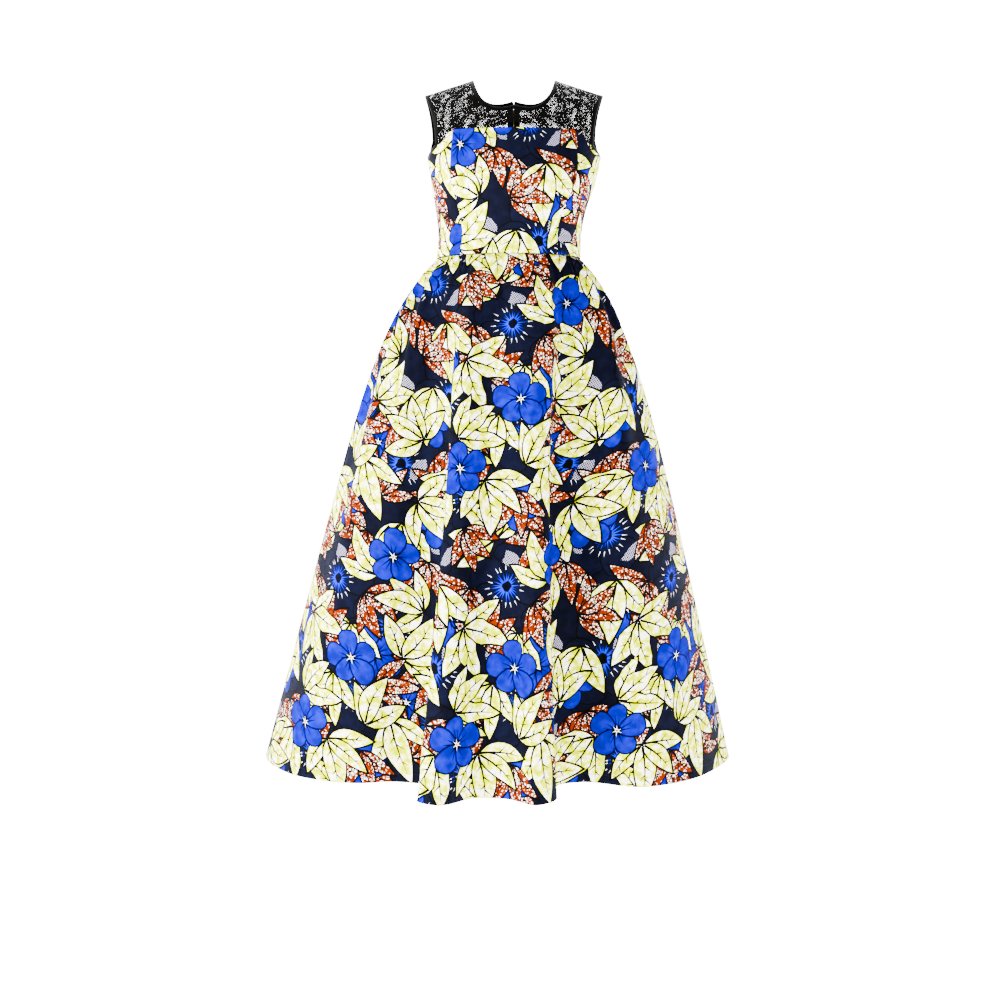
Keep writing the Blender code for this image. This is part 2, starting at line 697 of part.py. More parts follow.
def add_slider(metal, collection, cutters):
    """The slider with its bridge, and the pull tab that hangs from it."""
    heights = np.array([SLIDER_HEIGHT + 0.001, SLIDER_HEIGHT, SLIDER_HEIGHT - 0.001])
    line = back_middle(heights, np.zeros(3))
    slope = math.atan2(line[2, 1] - line[0, 1], line[0, 2] - line[2, 2])
    frame = Matrix.Translation(line[1]) @ Matrix.Rotation(slope, 4, "X")
    width, height = SLIDER_SIZE
    post = 0.0010
    posts_at = height / 2 - 0.0012
    boxes = [
        add_box((width, 0.0012, height), (0, 0.0010, 0), collection),
        add_box((0.0006, 0.0058, height - 0.003), (0, -0.0018, 0), collection),
        add_box((width, 0.0010, height), (0, -0.0047, 0), collection),
        add_box((0.0016, 0.0032, post), (0, 0.0029, posts_at), collection),
        add_box((0.0016, 0.0032, post), (0, 0.0029, -posts_at), collection),
        add_box((0.0016, 0.0009, 2 * posts_at + post), (0, 0.0041, 0), collection),
    ]
    joined("zip_slider", boxes, frame, metal, cutters)
    bpy.ops.mesh.primitive_cylinder_add(vertices=10, radius=0.0005, depth=0.0054)
    bar = bpy.context.object
    for old in bar.users_collection:
        old.objects.unlink(bar)
    collection.objects.link(bar)
    bar.data.transform(Matrix.Rotation(math.pi / 2, 4, "Y"))
    arms = [add_box((0.0011, 0.0009, 0.0060), (sign * 0.0020, 0, -0.0028), collection) for sign in (-1, 1)]
    neck = add_box((0.0051, 0.0009, 0.0030), (0, 0, -0.0066), collection)
    blade = add_box((0.0066, 0.0010, PULL_LENGTH - 0.0075), (0, 0, -0.0075 - (PULL_LENGTH - 0.0075) / 2), collection)
    pivot = frame @ Matrix.Translation((0, 0.0026, 0))
    joined("zip_pull", [bar, *arms, neck, blade], pivot, metal, cutters)


def clear_scene():
    """Removes every object and material that the scene starts with."""
    for item in list(bpy.data.objects):
        bpy.data.objects.remove(item, do_unlink=True)
    for item in list(bpy.data.materials):
        bpy.data.materials.remove(item)


def main():
    """Builds the dress."""
    clear_scene()
    dress = bpy.data.collections.new("ankara_wax_print_dress")
    cutters = bpy.data.collections.new("slider_cutters")
    for collection in (dress, cutters):
        bpy.context.scene.collection.children.link(collection)
    cloth = finish_of("wax_print_cotton", NAVY, 0.75)
    lace = finish_of("black_lace", BLACK, 0.85)
    binding = finish_of("black_bias_binding", BLACK, 0.60)
    tape = finish_of("zip_tape", BLACK, 0.80)
    metal = finish_of("zip_metal", BRASS, 0.35, 1.0)
    add_yokes(lace, dress)
    add_bodice(cloth, dress)
    add_skirt(cloth, dress)
    add_bindings(binding, dress)
    add_tapes(tape, dress)
    add_slider(metal, dress, cutters)


main()
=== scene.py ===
"""The looks of a sleeveless wax print dress with a lace yoke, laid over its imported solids.

Units are metres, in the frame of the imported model: +Z up, +X to the right of the front view, +Y to the back.
Every cloth piece is drawn flat first, as printed or worked cloth, and is then laid on the dress's own form.
"""

import json
import math
from dataclasses import dataclass
from enum import Enum
from typing import Callable, NamedTuple, Sequence

import bpy
import numpy as np
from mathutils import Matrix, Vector
from mathutils.geometry import delaunay_2d_cdt

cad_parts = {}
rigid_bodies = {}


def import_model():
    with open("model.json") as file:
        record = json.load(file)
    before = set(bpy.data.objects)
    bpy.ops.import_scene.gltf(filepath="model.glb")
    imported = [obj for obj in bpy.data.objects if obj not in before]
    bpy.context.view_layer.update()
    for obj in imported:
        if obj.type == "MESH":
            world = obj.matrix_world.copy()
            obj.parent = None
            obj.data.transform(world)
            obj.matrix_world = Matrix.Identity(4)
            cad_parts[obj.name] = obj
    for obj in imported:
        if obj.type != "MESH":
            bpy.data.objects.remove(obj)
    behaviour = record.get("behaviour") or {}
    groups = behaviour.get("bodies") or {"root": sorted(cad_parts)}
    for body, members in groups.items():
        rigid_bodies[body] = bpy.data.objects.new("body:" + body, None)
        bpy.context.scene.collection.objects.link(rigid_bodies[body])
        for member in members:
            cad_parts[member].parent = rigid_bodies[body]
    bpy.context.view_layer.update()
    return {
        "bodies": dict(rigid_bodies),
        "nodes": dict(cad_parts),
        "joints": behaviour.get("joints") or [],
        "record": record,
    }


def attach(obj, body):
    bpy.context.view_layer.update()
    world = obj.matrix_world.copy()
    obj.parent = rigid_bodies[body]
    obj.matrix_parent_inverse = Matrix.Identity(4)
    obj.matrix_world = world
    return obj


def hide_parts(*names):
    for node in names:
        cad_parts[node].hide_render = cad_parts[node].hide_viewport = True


GARMENT = "garment"

# Cloth and seams
ZIP_SLIT = 0.0012
LACE_WALL = 0.0012

# Shoulders and neck
NECK_HALF_WIDTH = 0.0700
SHOULDER_TIP = 0.1440
NECK_POINT_HEIGHT = 0.0120
SHOULDER_TIP_HEIGHT = -0.0110
SHOULDER_ROUND = 0.0500
NECK_DROP_FRONT = 0.1050
NECK_DROP_BACK = 0.0730
NECK_SPREAD = 1.4
NECK_SQUARENESS = 0.82
CHEST_SQUARENESS = 0.85

# Heights on the bodice
YOKE_SEAM = -0.0790
UNDERARM = -0.1170
WAIST = -0.2810
SEAM_GAP = 0.0003

# Skirt: start, growth and hip rounding of each size of its rings
SKIRT_HALF_WIDTH = (0.1865, 0.197, 0.0680)
SKIRT_FRONT_DEPTH = (0.132, 0.103, 0.0400)
SKIRT_BACK_DEPTH = (0.128, 0.112, 0.0440)
HIP_ROUNDING = 0.13
SKIRT_DROP = 0.8145
SKIRT_DROP_BY_REACH = 0.135
WAIST_LEAN = -0.0090
HEM_LEAN = -0.0276
PLEAT_SETTLING = 0.22
FOLD_GROWTH = 0.80
WAIST_BUNCHING = 1.0
GATHER_WAVES = 20
GATHER_DEPTH = 0.0020
GATHER_FADE = 0.14
SOFT_WAVES = 10
SOFT_DEPTH = 0.0042
SOFT_PEAK = 0.15

# Zip
ZIP_END_LEVEL = 0.18

# Weave of the cotton, and how much its wrinkling outweighs its threads
WEAVE_PITCH = 0.0006
WRINKLE_SHARE = 2.0

# Sewn edges
HEM_TURNING = 0.013
SEAM_PRESS = 0.0009
SEAM_WIDTH = 0.003

# Drawing: the widths of the print's black and light lines
INK_LINE = 0.0021
VEIN = 0.0025
LIME_MIDRIB = 0.0036
RUST_MIDRIB = 0.0026
PETAL_LINE = 0.0026
WHITE_RAY = 0.0022
COBALT_RAY = 0.0032
STAMEN = 0.0017
WHITE_RAYS = 6
COBALT_RAYS = 22
STAMENS = 20
HEART_POINTS = 10
HATCH_POINTS = 8
LACE_PETAL_POINTS = 10
PRINT_SEED = 7
LACE_SEED = 11

# Tables that measure the cloth: columns and rows, and how far down each reaches
SKIRT_TABLE = (401, 101)
BODICE_TABLE = (301, 81)
BODICE_TABLE_TOP = -0.070
YOKE_TABLE_ROWS = 66
YOKE_TABLE_LENGTH = 0.130

# Cutting the cloth into triangles, one square block at a time
BLOCK = 0.080
BLOCK_STEPS = 10
BLOCK_MARGIN = 0.002
BLOCK_START = 0.0007
CLEAR_OF_BLOCK_EDGE = 0.0008
SMALLEST_PATCH = 2e-8
STRAIGHT = 0.00003
ON_EDGE = 1e-6
MEETING = 1e-7
WELD = 4e-6
SHORTEST = 1e-12


class Ink(Enum):
    """What a patch of cloth is printed or worked with."""

    GROUND = "wax_navy_ground"
    NAVY = "wax_navy_petal"
    BLUE = "wax_royal_blue"
    LIME = "wax_lime_leaf"
    RUST = "wax_rust_leaf"
    BLACK = "wax_black_line"
    HATCH = "wax_lavender_hatch"
    WHITE = "wax_white_stamen"
    COBALT = "wax_cobalt_stamen"
    LACE_NET = "lace_net"
    LACE_FLORAL = "lace_floral"
    OPEN = "open"


class Section(NamedTuple):
    """One level of the bodice."""

    name: str
    height: float
    half_width: float
    front: float
    back: float
    lean: float


class Place(NamedTuple):
    """A point of a seam or edge, as seen from the front."""

    name: str
    x: float
    z: float


class Fold(NamedTuple):
    """Where the hem passes: across from its middle, and out from the line between the side seams."""

    name: str
    x: float
    reach: float


class Lamp(NamedTuple):
    """A studio light, aimed at a height on the dress's axis; power in watts."""

    name: str
    place: tuple[float, float, float]
    aim_height: float
    size: float
    power: float


class Crease(NamedTuple):
    """A soft trough (negative depth) or ridge between two points of the flat cut, in millimetres."""

    name: str
    u_start: float
    v_start: float
    u_end: float
    v_end: float
    width: float
    depth: float


class Spray(NamedTuple):
    """Leaves that fan out from one point of the repeat. Lengths in millimetres, angles in degrees."""

    x: float
    y: float
    heading: float
    spread: float
    leaves: int
    length: float
    lobed: float = 0.0


class Bloom(NamedTuple):
    """An open flower of the repeat. Lengths in millimetres, angles in degrees."""

    x: float
    y: float
    heading: float
    radius: float
    petals: int = 5


class Sprig(NamedTuple):
    """A leaf or stem of the lace. Lengths in millimetres, angles in degrees."""

    x: float
    y: float
    heading: float
    length: float


class Ground(NamedTuple):
    """A hatched patch of ground between the motifs. Lengths in millimetres, angles in degrees."""

    x: float
    y: float
    heading: float
    length: float
    width: float


SECTIONS = (
    Section("waist seam", -0.281, 0.1190, 0.0920, 0.0840, -0.0090),
    Section("narrowest waist", -0.247, 0.1176, 0.0930, 0.0800, -0.0070),
    Section("under the bust", -0.205, 0.1230, 0.1040, 0.0840, -0.0055),
    Section("bust", -0.152, 0.1365, 0.1140, 0.0920, -0.0010),
    Section("underarm", -0.117, 0.1420, 0.1060, 0.0930, 0.0),
    Section("chest", -0.060, 0.1520, 0.0820, 0.0830, 0.0),
    Section("shoulder", 0.000, 0.1535, 0.0620, 0.0600, 0.0),
    Section("above the shoulder", 0.040, 0.1535, 0.0540, 0.0560, 0.0),
)

PRINCESS_SEAM = (
    Place("waist", 0.0795, -0.281),
    Place("narrowest waist", 0.0780, -0.240),
    Place("under the bust", 0.0860, -0.205),
    Place("bust", 0.1015, -0.165),
    Place("above the bust", 0.1035, -0.130),
    Place("yoke", 0.1000, -0.079),
)

FRONT_ARMHOLE = (
    Place("shoulder tip", 0.1440, -0.0110),
    Place("upper", 0.1370, -0.0300),
    Place("middle", 0.1305, -0.0550),
    Place("lower", 0.1265, -0.0850),
    Place("tail of the yoke", 0.1265, -0.1030),
)

FRONT_YOKE_TAIL = (
    Place("tail of the yoke", 0.1265, -0.1030),
    Place("end of the tail", 0.1195, -0.1000),
    Place("inner corner", 0.1105, -0.0875),
    Place("princess seam", 0.1000, -0.0790),
)

BACK_ARMHOLE = (
    Place("shoulder tip", 0.1440, -0.0110),
    Place("upper", 0.1390, -0.0300),
    Place("middle", 0.1350, -0.0550),
    Place("yoke seam", 0.1335, -0.0790),
)

FRONT_HEM = (
    Fold("left side seam", -0.381, 0.000),
    Fold("left side flute", -0.357, 0.082),
    Fold("left quarter", -0.300, 0.150),
    Fold("left flute", -0.219, 0.180),
    Fold("mouth of the left pleat", -0.160, 0.172),
    Fold("bottom of the left pleat", -0.112, 0.190),
    Fold("wall of the left pleat", -0.106, 0.240),
    Fold("edge of the left pleat", -0.120, 0.282),
    Fold("left crest", -0.092, 0.303),
    Fold("middle hollow", -0.030, 0.262),
    Fold("middle", 0.014, 0.268),
    Fold("right crest", 0.062, 0.302),
    Fold("edge of the right pleat", 0.091, 0.270),
    Fold("wall of the right pleat", 0.083, 0.226),
    Fold("bottom of the right pleat", 0.100, 0.186),
    Fold("right hollow", 0.132, 0.174),
    Fold("right flute", 0.225, 0.202),
    Fold("right quarter", 0.298, 0.164),
    Fold("right side flute", 0.355, 0.084),
    Fold("right side seam", 0.381, 0.000),
)

CENTRE_BACK = "centre back seam"
BACK_HEM = (
    Fold("left side seam", -0.381, 0.000),
    Fold("left side flute", -0.352, 0.094),
    Fold("left quarter", -0.296, 0.168),
    Fold("left hollow", -0.232, 0.176),
    Fold("left outer crest", -0.178, 0.244),
    Fold("left inner hollow", -0.110, 0.206),
    Fold("left inner crest", -0.052, 0.286),
    Fold(CENTRE_BACK, 0.002, 0.252),
    Fold("right inner crest", 0.058, 0.282),
    Fold("right inner hollow", 0.116, 0.214),
    Fold("right outer crest", 0.176, 0.252),
    Fold("right hollow", 0.238, 0.180),
    Fold("right quarter", 0.302, 0.158),
    Fold("right side flute", 0.355, 0.086),
    Fold("right side seam", 0.381, 0.000),
)

# The printed repeat, laid out one by one
REPEAT = (0.366, 0.418)
HATCHES = (
    Ground(35, 54, 20, 46, 27), Ground(130, 48, -60, 40, 21), Ground(228, 61, 35, 46, 24),
    Ground(335, 70, -20, 40, 24), Ground(80, 137, 70, 46, 21), Ground(178, 130, 10, 40, 27),
    Ground(277, 130, -50, 48, 21), Ground(17, 204, 15, 40, 24), Ground(117, 207, -35, 46, 24),
    Ground(228, 202, 60, 43, 21), Ground(313, 214, 0, 48, 24), Ground(61, 280, -65, 46, 21),
    Ground(165, 277, 25, 46, 24), Ground(261, 287, -15, 43, 27), Ground(352, 291, 50, 40, 21),
    Ground(26, 357, -10, 46, 24), Ground(122, 350, 45, 40, 24), Ground(213, 361, -40, 46, 24),
    Ground(304, 367, 20, 43, 21),
)
NAVY_BLOOMS = (
    Bloom(178, 37, 20, 72), Bloom(324, 111, 75, 67), Bloom(45, 186, 130, 70),
    Bloom(202, 233, 35, 75), Bloom(346, 294, 100, 62), Bloom(97, 341, 15, 72),
    Bloom(254, 390, 60, 64),
)
RUST_SPRAYS = (
    Spray(24, 30, 205, 119, 4, 75), Spray(118, 80, 252, 150, 5, 78), Spray(249, 19, 300, 88, 4, 72),
    Spray(261, 111, 230, 138, 4, 80), Spray(150, 165, 20, 125, 4, 72), Spray(9, 130, 300, 100, 4, 72),
    Spray(287, 202, 70, 150, 5, 75), Spray(111, 254, 215, 112, 4, 78), Spray(10, 277, 330, 125, 4, 70),
    Spray(186, 318, 285, 138, 5, 75), Spray(294, 324, 190, 112, 4, 72), Spray(52, 393, 60, 125, 4, 72),
    Spray(171, 393, 160, 100, 4, 70), Spray(341, 379, 260, 112, 4, 75),
)
LIME_SPRAYS = (
    Spray(84, 17, 262, 78, 3, 94), Spray(306, 40, 130, 150, 5, 83, 0.16), Spray(38, 103, 95, 125, 4, 86, 0.12),
    Spray(205, 106, 275, 88, 3, 96), Spray(346, 179, 250, 125, 4, 80, 0.14), Spray(103, 162, 150, 112, 4, 78),
    Spray(249, 171, 320, 138, 4, 86, 0.12), Spray(57, 237, 30, 138, 4, 83), Spray(164, 214, 262, 75, 3, 99),
    Spray(306, 258, 255, 100, 4, 83), Spray(235, 298, 20, 112, 4, 80, 0.16), Spray(139, 303, 120, 150, 4, 78),
    Spray(26, 332, 280, 88, 3, 94), Spray(285, 364, 300, 125, 4, 83), Spray(207, 358, 230, 100, 3, 88, 0.12),
    Spray(113, 402, 330, 138, 4, 80), Spray(351, 341, 60, 75, 3, 78),
)
BLUE_BLOOMS = (
    Bloom(64, 73, 10, 44), Bloom(228, 153, 50, 46), Bloom(17, 226, 100, 43), Bloom(341, 235, 25, 44),
    Bloom(150, 271, 70, 46), Bloom(56, 306, 140, 40), Bloom(242, 345, 95, 44), Bloom(148, 17, 30, 42),
    Bloom(334, 402, 65, 43),
)

# The lace's repeat, laid out one by one
LACE_REPEAT = (0.062, 0.056)
LACE_SHIFT = (0.004, 0.002)
LACE_PITCH = 0.0027
LACE_HOLE = 0.00074
LACE_FLOWERS = (
    Bloom(14, 13, 10, 9.0), Bloom(45, 38, 50, 9.6), Bloom(47, 9, 85, 6.2), Bloom(15, 42, 30, 6.6),
    Bloom(31, 26, 0, 4.4),
)
LACE_LEAVES = (
    Sprig(22, 8, -20, 12), Sprig(24, 16, 35, 11), Sprig(5, 20, 120, 11), Sprig(9, 27, 70, 10),
    Sprig(36, 34, 170, 12), Sprig(52, 30, -60, 12), Sprig(54, 44, 20, 11), Sprig(40, 48, 215, 12),
    Sprig(24, 48, -40, 12), Sprig(22, 36, 40, 10), Sprig(6, 50, 230, 10), Sprig(56, 16, 75, 11),
    Sprig(36, 14, 140, 11), Sprig(3, 4, 200, 9), Sprig(60, 54, 60, 9),
)
LACE_STEMS = (
    Sprig(2, 32, 15, 26), Sprig(28, 2, -65, 24), Sprig(33, 52, 5, 26), Sprig(58, 22, 95, 22),
    Sprig(20, 30, -20, 18),
)

# Hand-sewn hem and zip teeth
HEM_STITCH = 0.0026
HEM_STITCH_PITCH = 0.0036
HEM_STITCH_MARGIN = 0.012
THREAD_RADIUS = 0.00028

# Rings of one stitch: share of its length, height off the cloth, and share of the thread's thickness
STITCH_RINGS = ((0.0, -0.0001, 0.6), (0.25, 0.0002, 1.0), (0.75, 0.0002, 1.0), (1.0, -0.0001, 0.6))
TOOTH_PITCH = 0.0021
TOOTH = (0.0018, 0.0012, 0.0009)
TAPE_INSET = 0.0028
SLIDER_HEIGHT = -0.0290
SLIDER_LENGTH = 0.0090

# The photograph's camera and the studio's lights
CAMERA_PLACE = (-0.0231, -3.4, -0.678)
SENSOR_WIDTH = 36.0
LENS = 74.18
WORLD_LIGHT = 0.46
BACKDROP_GLOW = 3.2
LAMPS = (
    Lamp("key_softbox", (-2.7, -1.7, 0.9), -0.55, 1.0, 172.0),
    Lamp("fill_softbox", (2.1, -2.4, 0.3), -0.55, 1.4, 32.0),
    Lamp("front_low", (0.0, -3.2, -1.3), -0.90, 1.4, 12.0),
    Lamp("top_softbox", (0.0, 0.2, 2.2), -0.55, 1.8, 34.0),
)

# Half of the bindings' section: out from the cloth's edge, and half its thickness there
BINDING_SECTION = ((-0.0030, 0.0009), (0.0004, 0.0012), (0.0026, 0.0011), (0.0033, 0.0006))

# Soft creases, for each piece in its own flat cut
SKIRT_BACK_CREASES = (
    Crease("left inner break", -40, 60, -52, 330, 7, -2.0),
    Crease("left middle break", -150, 120, -196, 420, 9, -2.4),
    Crease("beside the left middle", -182, 200, -232, 480, 11, 1.6),
    Crease("left outer break", -240, 60, -330, 330, 9, -2.0),
    Crease("left lower hollow", -300, 420, -352, 720, 15, -2.2),
    Crease("right inner break", 60, 40, 74, 300, 7, -2.2),
    Crease("beside the right inner", 92, 120, 108, 360, 10, 1.6),
    Crease("right middle break", 172, 130, 214, 450, 9, -2.6),
    Crease("right outer break", 250, 70, 322, 300, 9, -1.8),
    Crease("right lower hollow", 318, 400, 372, 730, 15, -2.4),
)
SKIRT_FRONT_CREASES = (
    Crease("left break A", -165, 130, -205, 330, 8, -2.6),
    Crease("beside A", -190, 210, -232, 420, 10, 1.8),
    Crease("left of the deep fold", -120, 60, -175, 300, 7, -2.2),
    Crease("upper middle break", -8, 30, 2, 190, 6, -2.4),
    Crease("middle break D", 22, 130, 30, 470, 8, -2.4),
    Crease("beside D", 52, 60, 62, 250, 8, 1.8),
    Crease("right upper break", 60, 20, 74, 160, 6, -2.0),
    Crease("faint left middle", -62, 250, -66, 420, 9, -1.4),
    Crease("right break F", 150, 160, 205, 420, 9, -2.6),
    Crease("beside F", 182, 240, 232, 520, 11, 1.8),
    Crease("lower right hollow", 235, 420, 262, 720, 14, -2.4),
    Crease("lower left hollow", -262, 400, -300, 700, 15, -2.6),
    Crease("left hip pull", -205, 40, -262, 220, 9, -1.8),
    Crease("right hip pull", 190, 36, 250, 210, 9, -1.8),
)


def curve_through(knots: np.ndarray, values: np.ndarray, at: np.ndarray) -> np.ndarray:
    """A smooth curve through the values, by cubic pieces.

    Args:
        knots: Where the values lie, rising.
        values: One value at each knot.
        at: Where to read the curve.

    Returns:
        The curve's values there.
    """
    slopes = np.gradient(values, knots)
    first = np.clip(np.searchsorted(knots, at, side="right") - 1, 0, len(knots) - 2)
    width = knots[first + 1] - knots[first]
    part = (at - knots[first]) / width
    rest = 1 - part
    ends = values[first] * (1 + 2 * part) * rest**2 + values[first + 1] * part**2 * (3 - 2 * part)
    return ends + width * part * rest * (slopes[first] * rest - slopes[first + 1] * part)


def section_size(column: str, height: np.ndarray) -> np.ndarray:
    """A column of SECTIONS at any height.

    Args:
        column: Name of the column.
        height: Heights to read it at.

    Returns:
        The sizes there.
    """
    knots = np.array([row.height for row in SECTIONS])
    values = np.array([getattr(row, column) for row in SECTIONS])
    return curve_through(knots, values, np.asarray(height, float))


def shoulder_height(bearing: np.ndarray) -> np.ndarray:
    """Height of the shoulder seam's line over a bearing from the middle of the front or back."""
    across = np.abs(np.sin(bearing)) * SECTIONS[-1].half_width
    fall = (NECK_POINT_HEIGHT - SHOULDER_TIP_HEIGHT) / (SHOULDER_TIP - NECK_HALF_WIDTH)
    return NECK_POINT_HEIGHT - fall * (across - NECK_HALF_WIDTH)


def fall_of(length: np.ndarray) -> np.ndarray:
    """How far cloth has come down when it has gone this far over the rounded shoulder."""
    round_part = SHOULDER_ROUND * (1 - np.cos(np.minimum(length / SHOULDER_ROUND, math.pi / 2)))
    return round_part + np.maximum(length - SHOULDER_ROUND * math.pi / 2, 0)


def length_of(fall: np.ndarray) -> np.ndarray:
    """The cloth's length from the shoulder seam for this fall."""
    turn = np.arccos(np.clip(1 - fall / SHOULDER_ROUND, 0, 1))
    return SHOULDER_ROUND * turn + np.maximum(fall - SHOULDER_ROUND, 0)


def bodice_point(bearing: np.ndarray, length: np.ndarray, side: int) -> np.ndarray:
    """Points of the bodice's outer surface.

    Args:
        bearing: Angles from the middle of that side, in radians.
        length: Lengths of cloth from the shoulder seam.
        side: -1 for the front and 1 for the back.

    Returns:
        An array of places.
    """
    height = shoulder_height(bearing) - fall_of(length)
    depth = section_size("front" if side < 0 else "back", height)
    arch = np.sin(np.minimum(length / SHOULDER_ROUND, math.pi / 2))
    x = section_size("half_width", height) * np.sin(bearing) + section_size("lean", height)
    y = side * depth * np.maximum(np.cos(bearing), 0) ** CHEST_SQUARENESS * arch
    return np.stack([x, y, height], axis=-1)


def lower_bodice_point(bearing: np.ndarray, height: np.ndarray, side: int) -> np.ndarray:
    """Points of the bodice below the yoke, by bearing and height."""
    return bodice_point(bearing, length_of(shoulder_height(bearing) - height), side)


def skirt_size(flare: Sequence[float], level: np.ndarray) -> np.ndarray:
    """Half width or depth of the skirt's ring at a level."""
    start, growth, rounding = flare
    return start + growth * level - rounding * np.exp(-level / HIP_ROUNDING)


def hem_line(folds: Sequence[Fold], depth_flare: Sequence[float]) -> tuple[np.ndarray, np.ndarray, np.ndarray]:
    """Share of the cloth, bearing and standing out of each fold, as three arrays."""
    x = np.array([fold.x for fold in folds])
    reach = np.array([fold.reach for fold in folds])
    width, depth = skirt_size(SKIRT_HALF_WIDTH, 1.0), skirt_size(depth_flare, 1.0)
    along = np.concatenate([[0], np.cumsum(np.hypot(np.diff(x), np.diff(reach)))])
    bearing = np.arctan2(x / width, reach / depth)
    out = np.hypot(x, reach) - np.hypot(width * np.sin(bearing), depth * np.cos(bearing))
    return 2 * along / along[-1] - 1, bearing, out


def centre_back_share() -> float:
    """Share of the back's cloth at which its centre seam lies."""
    shares = hem_line(BACK_HEM, SKIRT_BACK_DEPTH)[0]
    return float(shares[[fold.name for fold in BACK_HEM].index(CENTRE_BACK)])


def skirt_point(share: np.ndarray, level: np.ndarray, side: int) -> np.ndarray:
    """Points of the skirt's outer surface.

    Args:
        share: Places across the cloth, from -1 at the left side seam to 1 at the right one.
        level: Levels from 0 at the waist to 1 at the hem.
        side: -1 for the front and 1 for the back.

    Returns:
        An array of places.
    """
    folds, depth_flare = (FRONT_HEM, SKIRT_FRONT_DEPTH) if side < 0 else (BACK_HEM, SKIRT_BACK_DEPTH)
    knots, bearings, outs = hem_line(folds, depth_flare)
    at_waist = np.sign(share) * (1 - np.exp(-WAIST_BUNCHING * np.abs(share))) / (1 - math.exp(-WAIST_BUNCHING))
    at_hem = curve_through(knots, bearings, share)
    settled = (1 - np.exp(-level / PLEAT_SETTLING)) / (1 - math.exp(-1 / PLEAT_SETTLING))
    bearing = at_waist * math.pi / 2 * (1 - settled) + at_hem * settled
    out = curve_through(knots, outs, share) * level**FOLD_GROWTH
    edges = np.clip((1 - np.abs(share)) / 0.06, 0, 1)
    if side > 0:
        edges = edges * np.clip(np.abs(share - centre_back_share()) / 0.10, 0, 1)
    calm = edges**2 * (3 - 2 * edges)
    sewn = 0.3 + 0.7 * np.minimum(level / 0.03, 1)
    gathers = GATHER_DEPTH * sewn * np.exp(-((level / GATHER_FADE) ** 2))
    gathers = gathers * (1 + 0.35 * np.sin(7.3 * share + 1)) * np.sin(math.pi * GATHER_WAVES * (share + 1))
    soft = SOFT_DEPTH * (level / SOFT_PEAK) * np.exp(1 - level / SOFT_PEAK)
    soft = soft * (1 + 0.4 * np.sin(5.1 * share - 1)) * np.sin(math.pi * SOFT_WAVES * (share + 1) + 0.6)
    width, depth = skirt_size(SKIRT_HALF_WIDTH, level), skirt_size(depth_flare, level)
    across, along = width * np.sin(bearing), depth * np.cos(bearing)
    bigger = 1 + (out + calm * (gathers + soft)) / np.hypot(across, along)
    lean = WAIST_LEAN + (HEM_LEAN - WAIST_LEAN) * level
    reach = along * bigger
    drop = level * (SKIRT_DROP + SKIRT_DROP_BY_REACH * reach)
    return np.stack([lean + across * bigger, side * reach, WAIST - SEAM_GAP - drop], axis=-1)


def skirt_gathers(share: np.ndarray, level: np.ndarray, side: int) -> np.ndarray:
    """How far the finer gathers stand off the skirt's solid: pinched, uneven, and gone below the hips."""
    edges = np.clip((1 - np.abs(share)) / 0.05, 0, 1)
    if side > 0:
        edges = edges * np.clip(np.abs(share - centre_back_share()) / 0.04, 0, 1)
    wander = share + 0.006 * np.sin(23.0 * share + 9.0 * level)
    wander = wander + 0.004 * np.sin(41.0 * share - 4.0 * level + side)
    pinch = 1 - np.abs(np.sin(math.pi * 17.0 * wander + 0.4 * side))
    small = 1 - np.abs(np.sin(math.pi * 41.0 * wander + 1.1))
    deep = 0.6 + 0.4 * np.sin(9.0 * share + 2.0 * side)
    near = np.exp(-((level / 0.10) ** 2)) * np.minimum(1.0, 0.35 + level / 0.012)
    tight = np.exp(-((level / 0.035) ** 2)) * np.minimum(1.0, 0.35 + level / 0.012)
    sway = 0.0012 * np.sin(11.0 * share + 5.0 * level + side) * np.clip(level / 0.3, 0, 1)
    seam = SEAM_PRESS * np.clip(1 - level / 0.004, 0, 1)
    return edges * (-0.0026 * pinch**2 * deep * near - 0.0011 * small**2 * tight + sway) - seam


